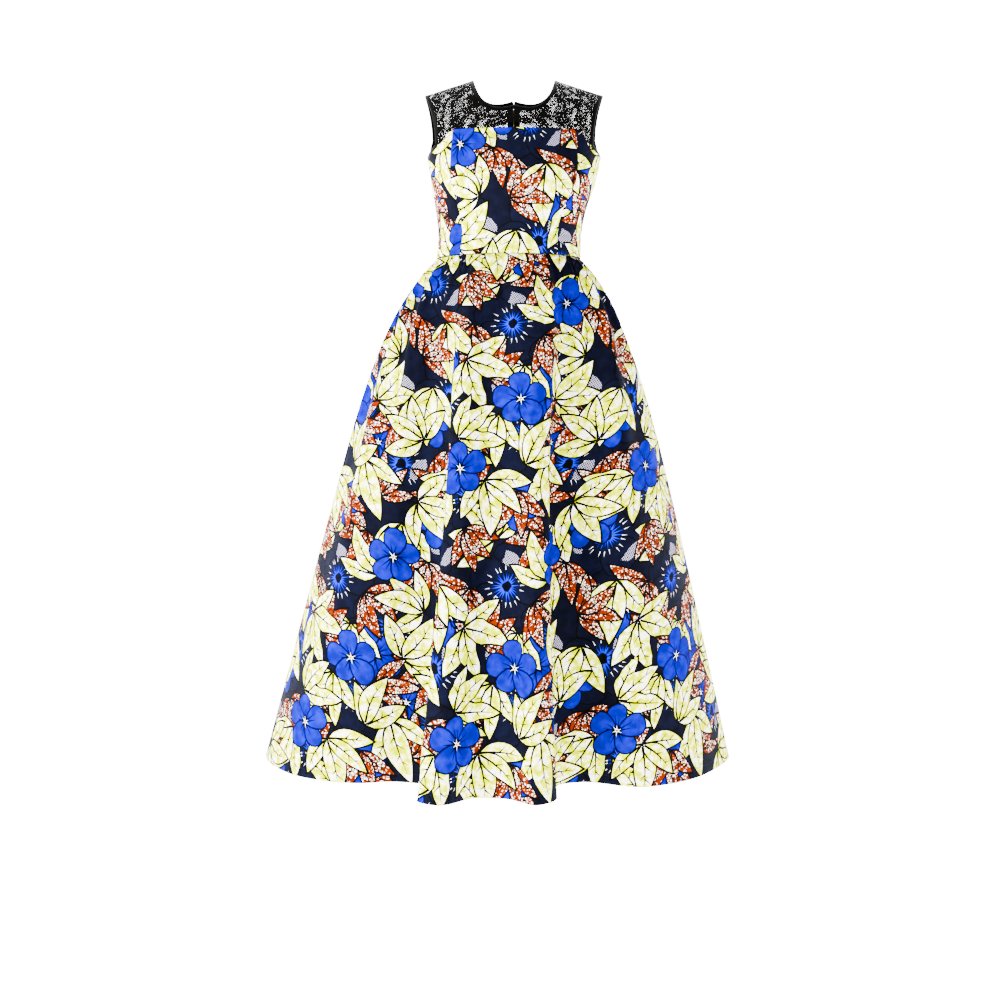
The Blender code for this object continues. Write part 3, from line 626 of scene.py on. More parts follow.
class Cloth:
    """A cut of cloth, flat and on the dress.

    Attributes:
        surface: Gives places on the dress for two parameters.
        detail: Gives how far the finer form stands off that surface.
        creases: Listed troughs and ridges in the flat cut.
    """

    def __init__(
        self,
        surface: Callable[[np.ndarray, np.ndarray], np.ndarray],
        across: np.ndarray,
        down: np.ndarray,
        detail: Callable[[np.ndarray, np.ndarray], np.ndarray] | None = None,
        creases: Sequence[Crease] = (),
    ) -> None:
        """Measures the surface along and across.

        Args:
            surface: Takes the two parameters and gives places.
            across: Values of the first parameter, rising; the flat cut's u is 0 at its middle value.
            down: Values of the second parameter from the top to the bottom.
            detail: Optional finer form.
            creases: Optional creases.
        """
        self.surface, self.detail, self.creases = surface, detail, creases
        self.across, self.down = across, down
        grid = np.meshgrid(across, down)
        places = surface(grid[0].ravel(), grid[1].ravel()).reshape(len(down), len(across), 3)
        steps = np.linalg.norm(np.diff(places, axis=1), axis=2)
        along = np.concatenate([np.zeros((len(down), 1)), np.cumsum(steps, axis=1)], axis=1)
        middle = int(np.argmin(np.abs(across)))
        self.low = -along[:, middle]
        self.long = along[:, -1]
        self.forward = along / along[:, -1:]
        fine = np.linspace(0, 1, len(across))
        self.backward = np.array([np.interp(fine, row, across) for row in self.forward])
        falls = np.linalg.norm(np.diff(places, axis=0), axis=2).mean(axis=1)
        self.fallen = np.concatenate([[0], np.cumsum(falls)])

    def _row(self, values: np.ndarray, knots: np.ndarray) -> tuple[np.ndarray, np.ndarray]:
        """Row numbers and shares of the way to the next row."""
        exact = np.interp(values, knots, np.arange(len(knots)))
        row = np.clip(np.floor(exact).astype(int), 0, len(knots) - 2)
        return row, exact - row

    def _table(self, table: np.ndarray, row: np.ndarray, part: np.ndarray, column: np.ndarray) -> np.ndarray:
        """Reads a table between its rows and columns."""
        first = np.clip(np.floor(column).astype(int), 0, table.shape[1] - 2)
        over = column - first
        upper = table[row, first] * (1 - over) + table[row, first + 1] * over
        lower = table[row + 1, first] * (1 - over) + table[row + 1, first + 1] * over
        return upper * (1 - part) + lower * part

    def flat(self, first: np.ndarray, second: np.ndarray) -> np.ndarray:
        """Flat places of parameter pairs."""
        rising = self.down[-1] > self.down[0]
        row, part = self._row(second if rising else -second, self.down if rising else -self.down)
        column = np.interp(first, self.across, np.arange(len(self.across)))
        share = self._table(self.forward, row, part, column)
        low = self.low[row] * (1 - part) + self.low[row + 1] * part
        long = self.long[row] * (1 - part) + self.long[row + 1] * part
        fallen = self.fallen[row] * (1 - part) + self.fallen[row + 1] * part
        return np.stack([low + share * long, fallen], axis=-1)

    def parameters(self, flat: np.ndarray) -> tuple[np.ndarray, np.ndarray, np.ndarray]:
        """Parameter pairs of flat places, and where each lies across the cut, from 0 to 1."""
        row, part = self._row(flat[:, 1], self.fallen)
        low = self.low[row] * (1 - part) + self.low[row + 1] * part
        long = self.long[row] * (1 - part) + self.long[row + 1] * part
        share = (flat[:, 0] - low) / long
        column = np.clip(share, 0, 1) * (len(self.across) - 1)
        first = self._table(self.backward, row, part, column)
        second = self.down[row] * (1 - part) + self.down[row + 1] * part
        return first, second, share

    def _smooth(self, flat: np.ndarray) -> tuple[np.ndarray, np.ndarray]:
        """Places on the plain surface and the directions square to it."""
        first, second, _ = self.parameters(flat)
        step = 2e-4
        here = self.surface(first, second)
        width = self.surface(first + step, second) - self.surface(first - step, second)
        way = -1 if self.down[-1] < self.down[0] else 1
        height = self.surface(first, second + way * step) - here
        normal = np.cross(width, height)
        normal /= np.maximum(np.linalg.norm(normal, axis=1, keepdims=True), SHORTEST)
        return here, self._outward(here, normal)

    @staticmethod
    def _outward(here: np.ndarray, normal: np.ndarray) -> np.ndarray:
        """Normals turned to point away from the body."""
        way = (normal * (here * (1, 1, 0) + (0, 0, 0.02))).sum(axis=1)
        turned = 1.0 if np.median(way) > 0 else -1.0
        return normal * turned

    def relief(self, flat: np.ndarray) -> np.ndarray:
        """How far the finer form stands off the plain surface."""
        first, second, _ = self.parameters(flat)
        total = self.detail(first, second) if self.detail else np.zeros(len(flat))
        for crease in self.creases:
            start = np.array([crease.u_start, crease.v_start]) / 1000
            line = np.array([crease.u_end, crease.v_end]) / 1000 - start
            part = np.clip(((flat - start) @ line) / (line @ line), 0, 1)
            bow = 0.02 * np.linalg.norm(line) * np.sin(part * math.pi * 1.5)
            nearest = start + part[:, None] * line - np.stack([bow, 0 * bow], axis=-1)
            off = np.linalg.norm(flat - nearest, axis=1)
            taper = np.sin(math.pi * np.clip(part, 0.02, 0.98)) ** 0.7
            total = total + crease.depth / 1000 * taper * np.exp(-((off / (crease.width / 1000)) ** 2))
        return total

    def place(self, flat: np.ndarray, off: float = 0.0) -> np.ndarray:
        """Places on the dress of flat places, moved out by off."""
        here, normal = self._smooth(flat)
        return here + normal * (self.relief(flat) + off)[:, None]

    def place_and_normal(self, flat: np.ndarray) -> tuple[np.ndarray, np.ndarray]:
        """Places on the dress, and the directions square to the finished cloth."""
        here = self.place(flat)
        share = self.parameters(flat)[2]
        step = 3e-4
        right = np.where(share > 0.5, -step, step)
        down = np.where(flat[:, 1] > self.fallen[-1] / 2, -step, step)
        beside = self.place(flat + np.stack([right, 0 * right], axis=-1)) - here
        below = self.place(flat + np.stack([0 * down, down], axis=-1)) - here
        normal = np.cross(beside, below) * np.sign(right * down)[:, None]
        normal /= np.maximum(np.linalg.norm(normal, axis=1, keepdims=True), SHORTEST)
        return here, self._outward(here, normal)


@dataclass(frozen=True)
class Patch:
    """A closed flat shape and what it is printed with."""

    ink: Ink
    outline: np.ndarray


def turned(points: np.ndarray, x: float, y: float, heading: float) -> np.ndarray:
    """Points turned by a heading in degrees, then moved; 90 is up on cloth whose second axis runs down."""
    angle = math.radians(heading)
    cosine, sine = math.cos(angle), math.sin(angle)
    across = x + points[:, 0] * cosine - points[:, 1] * sine
    down = y - points[:, 0] * sine - points[:, 1] * cosine
    return np.stack([across, down], axis=-1)


def laid(ink: Ink, shape: np.ndarray, motif: Spray | Bloom | Sprig | Ground, heading: float) -> Patch:
    """A shape drawn about a motif's own place, turned by a heading."""
    return Patch(ink, turned(shape, motif.x / 1000, motif.y / 1000, heading))


def ring_of(count: int) -> np.ndarray:
    """Points spaced evenly round a circle of radius 1."""
    turn = np.linspace(0, 2 * math.pi, count + 1)[:-1]
    return np.stack([np.cos(turn), np.sin(turn)], axis=-1)


def sliver(start: np.ndarray, end: np.ndarray, wide: float, narrow: float = 0.0) -> np.ndarray:
    """A thin tapering stroke between two points."""
    way = np.asarray(end, float) - np.asarray(start, float)
    off = np.array([-way[1], way[0]]) / max(float(np.hypot(*way)), 1e-9)
    first, last = off * wide / 2, off * narrow / 2
    if narrow > 0:
        return np.array([start - first, end - last, end + last, start + first])
    return np.array([start - first, end, start + first])


class Artist:
    """Draws the print's ordinary leaves and flowers as flat patches, each a little different.

    Attributes:
        chance: Source of the small differences, always seeded alike.
    """

    def __init__(self, seed: int) -> None:
        """Starts from a seed."""
        self.chance = np.random.default_rng(seed)

    def leaf(self, ink: Ink, spray: Spray, heading: float, length: float, lobed: float) -> list[Patch]:
        """One pointed leaf: black edge, fill, midrib and side veins.

        Args:
            ink: Its fill.
            spray: The spray that it grows from, for its base.
            heading: Its direction in degrees.
            length: Its length in metres.
            lobed: How strongly its edge waves.

        Returns:
            Its patches from the bottom up.
        """
        width = length * self.chance.uniform(0.31, 0.38) * (1.18 if ink is Ink.LIME else 1.0)
        bend = self.chance.uniform(-0.10, 0.10) * length
        phase = self.chance.uniform(0, 6)
        skew = self.chance.uniform(0.88, 1.0)

        def rim(part: np.ndarray, hand: int, grow: float) -> np.ndarray:
            half = width / 2 * np.sin(math.pi * part**0.80) ** 0.85 * (skew if hand < 0 else 1)
            half = half * (1 + lobed * np.sin(13 * part + phase + hand))
            x = part * length + grow * (part - 0.45) * 3.2
            return np.stack([x, bend * np.sin(math.pi * part) + hand * (half + grow)], axis=-1)

        def closed(grow: float) -> np.ndarray:
            part = np.linspace(0.0, 1.0, 9)
            upper, lower = rim(part, 1, grow), rim(part, -1, grow)
            tip = (upper[-1] + lower[-1]) / 2 + (grow, 0)
            return np.concatenate([upper[1:-1], [tip], lower[-2:0:-1], [(upper[0] + lower[0]) / 2 - (grow, 0)]])

        def spine(part: float) -> np.ndarray:
            return np.array([part * length, bend * math.sin(math.pi * part)])

        shapes = [(Ink.BLACK, closed(INK_LINE)), (ink, closed(0.0))]
        upper = [spine(part) for part in (0.02, 0.30, 0.58, 0.86)]
        strong = LIME_MIDRIB if ink is Ink.LIME else RUST_MIDRIB
        edge = [point + (0, strong * (1 - i * 0.28) / 2) for i, point in enumerate(upper)]
        under = [point - (0, strong * (1 - i * 0.28) / 2) for i, point in enumerate(upper)]
        shapes.append((Ink.BLACK, np.array(edge + under[::-1])))
        for index, part in enumerate(self.chance.uniform(-0.04, 0.04, 4) + (0.22, 0.38, 0.52, 0.66)):
            hand = 1 if index % 2 else -1
            reach = width / 2 * math.sin(math.pi * part**0.8) * self.chance.uniform(0.50, 0.86)
            end = spine(part + reach / length * 0.9) + (0, hand * reach)
            shapes.append((Ink.BLACK, sliver(spine(part), end, VEIN)))
        base = np.array([0.004, 0.0])
        return [laid(drawn, shape + base, spray, heading) for drawn, shape in shapes]

    def spray(self, ink: Ink, spray: Spray) -> list[Patch]:
        """Leaves fanned from one point."""
        patches: list[Patch] = []
        middle = (spray.leaves - 1) / 2
        for index in sorted(range(spray.leaves), key=lambda i: -abs(i - middle)):
            share = (index - middle) / max(middle, 0.5)
            heading = spray.heading + share * spray.spread / 2 + self.chance.uniform(-6, 6)
            length = spray.length / 1000 * (1.0 - 0.16 * abs(share)) * self.chance.uniform(0.92, 1.08)
            patches += self.leaf(ink, spray, heading, length, spray.lobed)
        return patches

    def petal(self, bloom: Bloom, index: int, ink: Ink, wide: float) -> list[Patch]:
        """One rounded petal with its black edge."""
        radius = bloom.radius / 1000 * self.chance.uniform(0.92, 1.06)
        heading = bloom.heading + index * 360 / bloom.petals + self.chance.uniform(-5, 5)
        turn = np.linspace(0, 2 * math.pi, 15)[:-1]
        wave = 1 + 0.05 * np.sin(3 * turn + self.chance.uniform(0, 6))
        patches = []
        for drawn, grow in ((Ink.BLACK, INK_LINE), (ink, 0.0)):
            shape = np.stack(
                [radius * 0.54 + (radius * 0.47 * wave + grow) * np.cos(turn),
                 (radius * wide * wave * (0.80 + 0.20 * np.cos(turn)) + grow) * np.sin(turn)], axis=-1)
            patches.append(laid(drawn, shape, bloom, heading))
        return patches

    def stroke(self, bloom: Bloom, ink: Ink, heading: float, start: float, end: float, wide: float) -> Patch:
        """One stroke that runs out from a flower's middle."""
        radius = bloom.radius / 1000
        shape = sliver(np.array([radius * start, 0.0]), np.array([radius * end, 0.0]), wide)
        return laid(ink, shape, bloom, heading)

    def heart(self, bloom: Bloom, share: float) -> Patch:
        """A flower's dark uneven middle."""
        out = bloom.radius / 1000 * share * self.chance.uniform(0.7, 1.2, HEART_POINTS)
        return laid(Ink.BLACK, ring_of(HEART_POINTS) * out[:, None], bloom, bloom.heading)

    def blue_bloom(self, bloom: Bloom) -> list[Patch]:
        """A royal blue flower with black lines on its petals and a black and white middle."""
        patches: list[Patch] = []
        for index in range(bloom.petals):
            patches += self.petal(bloom, index, Ink.BLUE, 0.46)
        for index in range(bloom.petals):
            for side in (-10, 12):
                heading = bloom.heading + index * 360 / bloom.petals + side + self.chance.uniform(-4, 4)
                end = self.chance.uniform(0.42, 0.66)
                patches.append(self.stroke(bloom, Ink.BLACK, heading, 0.10, end, PETAL_LINE))
        patches.append(self.heart(bloom, 0.17))
        for index in range(WHITE_RAYS):
            heading = bloom.heading + index * 360 / WHITE_RAYS + self.chance.uniform(-15, 15)
            end = self.chance.uniform(0.15, 0.24)
            patches.append(self.stroke(bloom, Ink.WHITE, heading, 0.03, end, WHITE_RAY))
        return patches

    def navy_bloom(self, bloom: Bloom) -> list[Patch]:
        """A large navy flower with cobalt and white stamens that radiate from its dark middle."""
        patches: list[Patch] = []
        for index in range(bloom.petals):
            patches += self.petal(bloom, index, Ink.NAVY, 0.56)
        for index in range(COBALT_RAYS):
            heading = bloom.heading + index * 360 / COBALT_RAYS + self.chance.uniform(-5, 5)
            end = self.chance.uniform(0.26, 0.42)
            patches.append(self.stroke(bloom, Ink.COBALT, heading, 0.08, end, COBALT_RAY))
        for index in range(STAMENS):
            heading = bloom.heading + index * 360 / STAMENS + self.chance.uniform(-6, 6)
            start = self.chance.uniform(0.32, 0.42)
            patches.append(self.stroke(bloom, Ink.WHITE, heading, start, start + 0.13, STAMEN))
        patches.append(self.heart(bloom, 0.12))
        return patches

    def hatch(self, patch: Ground) -> list[Patch]:
        """A patch of hatched ground with an uneven edge."""
        out = self.chance.uniform(0.75, 1.2, HATCH_POINTS) / 2000
        shape = ring_of(HATCH_POINTS) * (patch.length, patch.width) * out[:, None]
        return [laid(Ink.HATCH, shape, patch, patch.heading)]

    def repeat(self) -> list[list[Patch]]:
        """One repeat of the print, motif by motif from the bottom up."""
        motifs = [self.navy_bloom(bloom) for bloom in NAVY_BLOOMS]
        motifs += [self.hatch(patch) for patch in HATCHES]
        rust = [self.spray(Ink.RUST, spray) for spray in RUST_SPRAYS]
        lime = [self.spray(Ink.LIME, spray) for spray in LIME_SPRAYS]
        blue = [self.blue_bloom(bloom) for bloom in BLUE_BLOOMS]
        whole, tucked = blue[::3], blue[1::3] + blue[2::3]
        while rust or lime or tucked:
            for pile in (rust, lime, tucked):
                if pile:
                    motifs.append(pile.pop(0))
        return motifs + whole


class Lacemaker:
    """Draws the yokes' lace: a fine, slightly uneven net with ordinary flowers and leaves worked over it.

    Attributes:
        chance: Source of the small differences, always seeded alike.
    """

    def __init__(self, seed: int) -> None:
        """Starts from a seed."""
        self.chance = np.random.default_rng(seed)

    def net(self, border: np.ndarray) -> list[Patch]:
        """The net's holes inside a cut, in staggered rows."""
        low, high = border.min(axis=0), border.max(axis=0)
        turn = np.arange(6) * math.pi / 3 + math.pi / 6
        ring = np.stack([np.cos(turn), np.sin(turn)], axis=-1)
        holes = []
        for row, v in enumerate(np.arange(low[1], high[1], LACE_PITCH * 0.866)):
            for u in np.arange(low[0] + (row % 2) * LACE_PITCH / 2, high[0], LACE_PITCH):
                middle = np.array([u, v]) + self.chance.uniform(-0.0002, 0.0002, 2)
                holes.append(middle + ring * LACE_HOLE * self.chance.uniform(0.84, 1.12))
        held = inside(np.concatenate(holes), border).reshape(-1, 6).all(axis=1)
        return [Patch(Ink.OPEN, hole) for hole, good in zip(holes, held) if good]

    def flower(self, bloom: Bloom) -> list[Patch]:
        """A flower of rounded petals, each with a slit, about a pierced middle."""
        radius, ring = bloom.radius / 1000, ring_of(LACE_PETAL_POINTS)
        patches: list[Patch] = []
        slits: list[Patch] = []
        for index in range(bloom.petals):
            heading = bloom.heading + index * 360 / bloom.petals + self.chance.uniform(-6, 6)
            petal = ring * radius * np.array([0.44, 0.37]) + (radius * 0.60, 0)
            patches.append(laid(Ink.LACE_FLORAL, petal, bloom, heading))
            for out, long, wide in ((0.44, 0.12, 0.05), (0.74, 0.06, 0.15)):
                slit = ring[::2] * radius * np.array([long, wide]) + (radius * out, 0)
                slits.append(laid(Ink.OPEN, slit, bloom, heading))
        patches.append(laid(Ink.LACE_FLORAL, ring * radius * 0.26, bloom, 0))
        slits.append(laid(Ink.OPEN, ring[::2] * radius * 0.09, bloom, 0))
        return patches + slits

    def leaf(self, sprig: Sprig) -> list[Patch]:
        """A pointed leaf with a row of slits beside its midrib."""
        length = sprig.length / 1000
        part = np.linspace(0, 1, 8)
        half = length * 0.21 * np.sin(math.pi * part**0.85) ** 0.8
        upper = np.stack([part * length, half], axis=-1)
        shape = np.concatenate([upper, (upper * (1, -1))[-2:0:-1]])
        patches = [laid(Ink.LACE_FLORAL, shape, sprig, sprig.heading)]
        for start in (0.24, 0.44, 0.64):
            for hand in (-1, 1):
                root = np.array([start * length, hand * length * 0.035])
                tip = root + (length * 0.10, hand * length * 0.10 * (1.2 - start))
                slit = sliver(root, tip, length * 0.07, length * 0.05)
                patches.append(laid(Ink.OPEN, slit, sprig, sprig.heading))
        return patches

    def stem(self, sprig: Sprig) -> list[Patch]:
        """A curling stem."""
        part = np.linspace(0, 1, 9)
        length = sprig.length / 1000
        line = np.stack([part * length, 0.16 * length * np.sin(math.pi * 1.6 * part)], axis=-1)
        way = np.gradient(line, axis=0)
        off = np.stack([-way[:, 1], way[:, 0]], axis=-1) / np.linalg.norm(way, axis=1, keepdims=True) * 0.0006
        shape = np.concatenate([line + off, (line - off)[::-1]])
        return [laid(Ink.LACE_FLORAL, shape, sprig, sprig.heading)]

    def repeat(self) -> list[list[Patch]]:
        """One repeat of the worked motifs, from the bottom up."""
        motifs = [self.stem(sprig) for sprig in LACE_STEMS]
        motifs += [self.leaf(sprig) for sprig in LACE_LEAVES]
        return motifs + [self.flower(bloom) for bloom in LACE_FLOWERS]


@dataclass
class Piece:
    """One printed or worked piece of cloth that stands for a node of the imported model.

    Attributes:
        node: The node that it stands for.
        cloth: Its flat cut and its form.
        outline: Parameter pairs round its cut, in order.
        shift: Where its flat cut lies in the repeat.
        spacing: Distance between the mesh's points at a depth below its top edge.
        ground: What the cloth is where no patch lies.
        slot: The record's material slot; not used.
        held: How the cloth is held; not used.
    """

    node: str
    cloth: Cloth
    outline: np.ndarray
    shift: tuple[float, float]
    spacing: Callable[[float], tuple[float, float]]
    ground: Ink = Ink.GROUND
    slot: str = "wax_print_cotton"
    held: str = "gathered"

    def border(self) -> np.ndarray:
        """The cut's outline in the flat."""
        return self.cloth.flat(self.outline[:, 0], self.outline[:, 1])


def inside(points: np.ndarray, border: np.ndarray) -> np.ndarray:
    """Which flat points lie inside a closed outline."""
    found = np.zeros(len(points), bool)
    ends = np.roll(border, -1, axis=0)
    for start, end in zip(border, ends):
        if start[1] == end[1]:
            continue
        between = (start[1] > points[:, 1]) != (end[1] > points[:, 1])
        crossing = start[0] + (points[:, 1] - start[1]) / (end[1] - start[1]) * (end[0] - start[0])
        found ^= between & (points[:, 0] < crossing)
    return found


def repeated(
    motifs: list[list[Patch]], border: np.ndarray, shift: tuple[float, float], size: tuple[float, float]
) -> list[Patch]:
    """The patches of every repeat that reach into a cut, from the bottom up.

    Args:
        motifs: One repeat, motif by motif.
        border: The cut's outline.
        shift: Where the first repeat starts.
        size: Width and height of the repeat.

    Returns:
        The patches.
    """
    low, high = border.min(axis=0), border.max(axis=0)
    shapes: list[tuple[Ink, np.ndarray]] = []
    for motif in motifs:
        reach = np.concatenate([patch.outline for patch in motif])
        first, last = reach.min(axis=0) + shift, reach.max(axis=0) + shift
        columns = range(math.floor((low[0] - last[0]) / size[0]) + 1, math.ceil((high[0] - first[0]) / size[0]))
        rows = range(math.floor((low[1] - last[1]) / size[1]) + 1, math.ceil((high[1] - first[1]) / size[1]))
        for column in columns:
            for row in rows:
                move = np.array(shift) + (column * size[0], row * size[1])
                shapes += [(patch.ink, patch.outline + move) for patch in motif]
    reached = inside(np.concatenate([shape for _, shape in shapes]), border)
    starts = np.concatenate([[0], np.cumsum([len(shape) for _, shape in shapes])[:-1]])
    kept = np.add.reduceat(reached.astype(int), starts) > 0
    return [Patch(ink, shape) for (ink, shape), good in zip(shapes, kept) if good]


def mesh_grid(piece: Piece, border: np.ndarray) -> np.ndarray:
    """Flat points spread over a cut, closer where the cloth is gathered, and clear of its outline."""
    points = []
    low, high = border.min(axis=0), border.max(axis=0)
    v, row = low[1], 0
    while v < high[1]:
        wide, tall = piece.spacing(v - low[1])
        count = max(int((high[0] - low[0]) / wide), 1)
        u = low[0] + (np.arange(count + 1) + 0.5 * (row % 2)) * wide
        points.append(np.stack([u, np.full(len(u), v + tall * 0.5)], axis=-1))
        v += tall
        row += 1
    found = np.concatenate(points)
    return found[inside(found, border)]


def clipped(shape: np.ndarray, low: np.ndarray, high: np.ndarray) -> np.ndarray:
    """A closed outline cut down to a box."""
    if (shape >= low).all() and (shape <= high).all():
        return shape
    for axis, limit, way in ((0, low[0], 1), (0, high[0], -1), (1, low[1], 1), (1, high[1], -1)):
        if not len(shape):
            break
        held = (shape[:, axis] - limit) * way
        kept = []
        for index in range(len(shape)):
            here, before = held[index], held[index - 1]
            if (here >= 0) != (before >= 0):
                share = before / (before - here)
                kept.append(shape[index - 1] + (shape[index] - shape[index - 1]) * share)
            if here >= 0:
                kept.append(shape[index])
        shape = np.array(kept)
    return shape


def visible_edges(triangles: np.ndarray, inks: np.ndarray) -> list[tuple[int, int, int, int]]:
    """Edges where the ink changes or the cloth ends.

    Args:
        triangles: Counter-clockwise triangles.
        inks: A number for each triangle's ink.

    Returns:
        For each edge its start, its end, and the inks on its left and right, with -1 for none.
    """
    ends = np.concatenate([triangles[:, [0, 1]], triangles[:, [1, 2]], triangles[:, [2, 0]]])
    owner = np.tile(inks, 3)
    forward = ends[:, 0] < ends[:, 1]
    edges, index = np.unique(np.sort(ends, axis=1), axis=0, return_inverse=True)
    index = index.reshape(-1)
    left, right = np.full(len(edges), -1), np.full(len(edges), -1)
    left[index[forward]] = owner[forward]
    right[index[~forward]] = owner[~forward]
    seen = left != right
    rows = np.column_stack([edges[seen], left[seen], right[seen]])
    return [tuple(row) for row in rows.tolist()]


def straightened(
    places: np.ndarray, edges: list[tuple[int, int, int, int]], corner: np.ndarray
) -> list[tuple[int, int, int, int]]:
    """Joins edges that run straight on between the same two inks, but keeps a block's own even points.

    Args:
        places: Flat points.
        edges: Edges from visible_edges.
        corner: The block's lowest corner.

    Returns:
        The joined edges.
    """
    alive = dict(enumerate(edges))
    touching: dict[int, set[int]] = {}
    for number, (start, end, _, _) in alive.items():
        touching.setdefault(start, set()).add(number)
        touching.setdefault(end, set()).add(number)
    local = places - corner
    on_frame = (np.abs(local) < ON_EDGE) | (np.abs(local - BLOCK) < ON_EDGE)
    for point, pair in touching.items():
        if len(pair) != 2:
            continue
        first, second = pair
        a, b = alive[first], alive[second]
        if a[1] != point:
            a = (a[1], a[0], a[3], a[2])
        if b[0] != point:
            b = (b[1], b[0], b[3], b[2])
        if a[2:] != b[2:] or a[0] == b[1]:
            continue
        if -1 in a[2:]:
            steps = local[point] / (BLOCK / BLOCK_STEPS)
            even = np.abs(steps - np.rint(steps)).max() < 1e-3
            if even or not (on_frame[point] & on_frame[a[0]] & on_frame[b[1]]).any():
                continue
        line = places[b[1]] - places[a[0]]
        off = places[point] - places[a[0]]
        if abs(line[0] * off[1] - line[1] * off[0]) > STRAIGHT * max(float(np.hypot(*line)), 1e-9):
            continue
        alive[first] = (a[0], b[1], a[2], a[3])
        del alive[second]
        touching[b[1]].discard(second)
        touching[b[1]].add(first)
        pair.clear()
    return list(alive.values())


def refilled(
    places: np.ndarray, edges: list[tuple[int, int, int, int]], grid: np.ndarray
) -> tuple[np.ndarray, np.ndarray, list[int]]:
    """Triangles between the visible edges, each with the ink that its edges call for.

    Args:
        places: Flat points.
        edges: Joined edges.
        grid: Further mesh points.

    Returns:
        Flat points, triangles and ink numbers.
    """
    used, index = np.unique([edge[:2] for edge in edges], return_inverse=True)
    ends = index.reshape(-1, 2)
    corners = places[used]
    points = [Vector(point) for point in np.concatenate([corners, grid])]
    found, lines, faces, _, origins, _ = delaunay_2d_cdt(points, ends.tolist(), [], 0, MEETING, True)
    flat = np.array(found, float)
    sides: dict[tuple[int, int], int] = {}
    for (start, end), origin in zip(lines, origins):
        if origin:
            a, b = ends[origin[0]]
            ahead = (flat[end] - flat[start]) @ (corners[b] - corners[a]) > 0
            left, right = edges[origin[0]][2:]
            sides[start, end] = left if ahead else right
            sides[end, start] = right if ahead else left
    owners: dict[tuple[int, int], int] = {}
    inks: list[int | None] = []
    for number, face in enumerate(faces):
        ink = None
        for start, end in zip(face, (face[1], face[2], face[0])):
            owners[start, end] = number
            ink = sides.get((start, end), ink)
        inks.append(ink)
    waiting = [number for number, ink in enumerate(inks) if ink is not None]
    while waiting:
        number = waiting.pop()
        face = faces[number]
        for start, end in zip(face, (face[1], face[2], face[0])):
            beside = owners.get((end, start))
            if beside is not None and inks[beside] is None and (start, end) not in sides:
                inks[beside] = inks[number]
                waiting.append(beside)
    kept = [number for number, ink in enumerate(inks) if ink is not None and ink >= 0]
    return flat, np.array([faces[number] for number in kept]), [inks[number] for number in kept]


def block_triangles(
    corner: np.ndarray, border: np.ndarray, patches: Sequence[Patch], grid: np.ndarray, ground: Ink
) -> tuple[np.ndarray, np.ndarray, list[Ink]] | None:
    """Triangles of one square block of a cut, which meet those of the next block point for point.

    Args:
        corner: The block's lowest corner.
        border: The cut's outline.
        patches: The patches that reach the block.
        grid: Mesh points of the whole cut.
        ground: What the cloth is where no patch lies.

    Returns:
        Flat points, triangles and inks, or None where the block is empty.
    """
    low, high = corner - BLOCK_MARGIN, corner + BLOCK + BLOCK_MARGIN
    edge = clipped(border, low, high)
    if len(edge) < 3:
        return None
    side = np.linspace(0, BLOCK, BLOCK_STEPS + 1)[:-1]
    none = np.zeros(len(side))
    frame = np.concatenate([
        np.stack([side, none], axis=-1),
        np.stack([none + BLOCK, side], axis=-1),
        np.stack([BLOCK - side, none + BLOCK], axis=-1),
        np.stack([none, BLOCK - side], axis=-1),
    ]) + corner
    shapes, points, inks = [], [], []
    for ink, shape in [(ground, frame), (ground, edge)] + [(patch.ink, patch.outline) for patch in patches]:
        cut = clipped(shape, low, high)
        if len(cut) < 3:
            continue
        local = cut - corner
        area = (local[:, 0] * np.roll(local[:, 1], -1) - local[:, 1] * np.roll(local[:, 0], -1)).sum() / 2
        if abs(area) < SMALLEST_PATCH:
            continue
        if area < 0:
            cut = cut[::-1]
        shapes.append(list(range(len(points), len(points) + len(cut))))
        points += [Vector(point) for point in cut]
        inks.append(ink)
    inner, outer = corner + CLEAR_OF_BLOCK_EDGE, corner + BLOCK - CLEAR_OF_BLOCK_EDGE
    near = (grid > inner).all(axis=1) & (grid < outer).all(axis=1)
    points += [Vector(point) for point in grid[near]]
    found, _, faces, _, _, sources = delaunay_2d_cdt(points, [], shapes, 0, MEETING, True)
    places = np.array(found, float)
    lows = np.array([np.min([points[i] for i in shape], axis=0) for shape in shapes])
    highs = np.array([np.max([points[i] for i in shape], axis=0) for shape in shapes])
    kept = []
    for face, source in zip(faces, sources):
        if 0 not in source or 1 not in source:
            continue
        middle = places[face].mean(axis=0)
        holding = [i for i in source if (lows[i] <= middle).all() and (middle <= highs[i]).all()]
        kept.append((face, inks[max(holding, default=1)]))
    if not kept:
        return None
    known = sorted({ink for _, ink in kept}, key=lambda ink: ink.value)
    numbers = np.array([known.index(ink) for _, ink in kept])
    edges = visible_edges(np.array([face for face, _ in kept]), numbers)
    edges = straightened(places, edges, corner)
    flat, triangles, found_inks = refilled(places, edges, grid[near])
    return flat, triangles, [known[number] for number in found_inks]


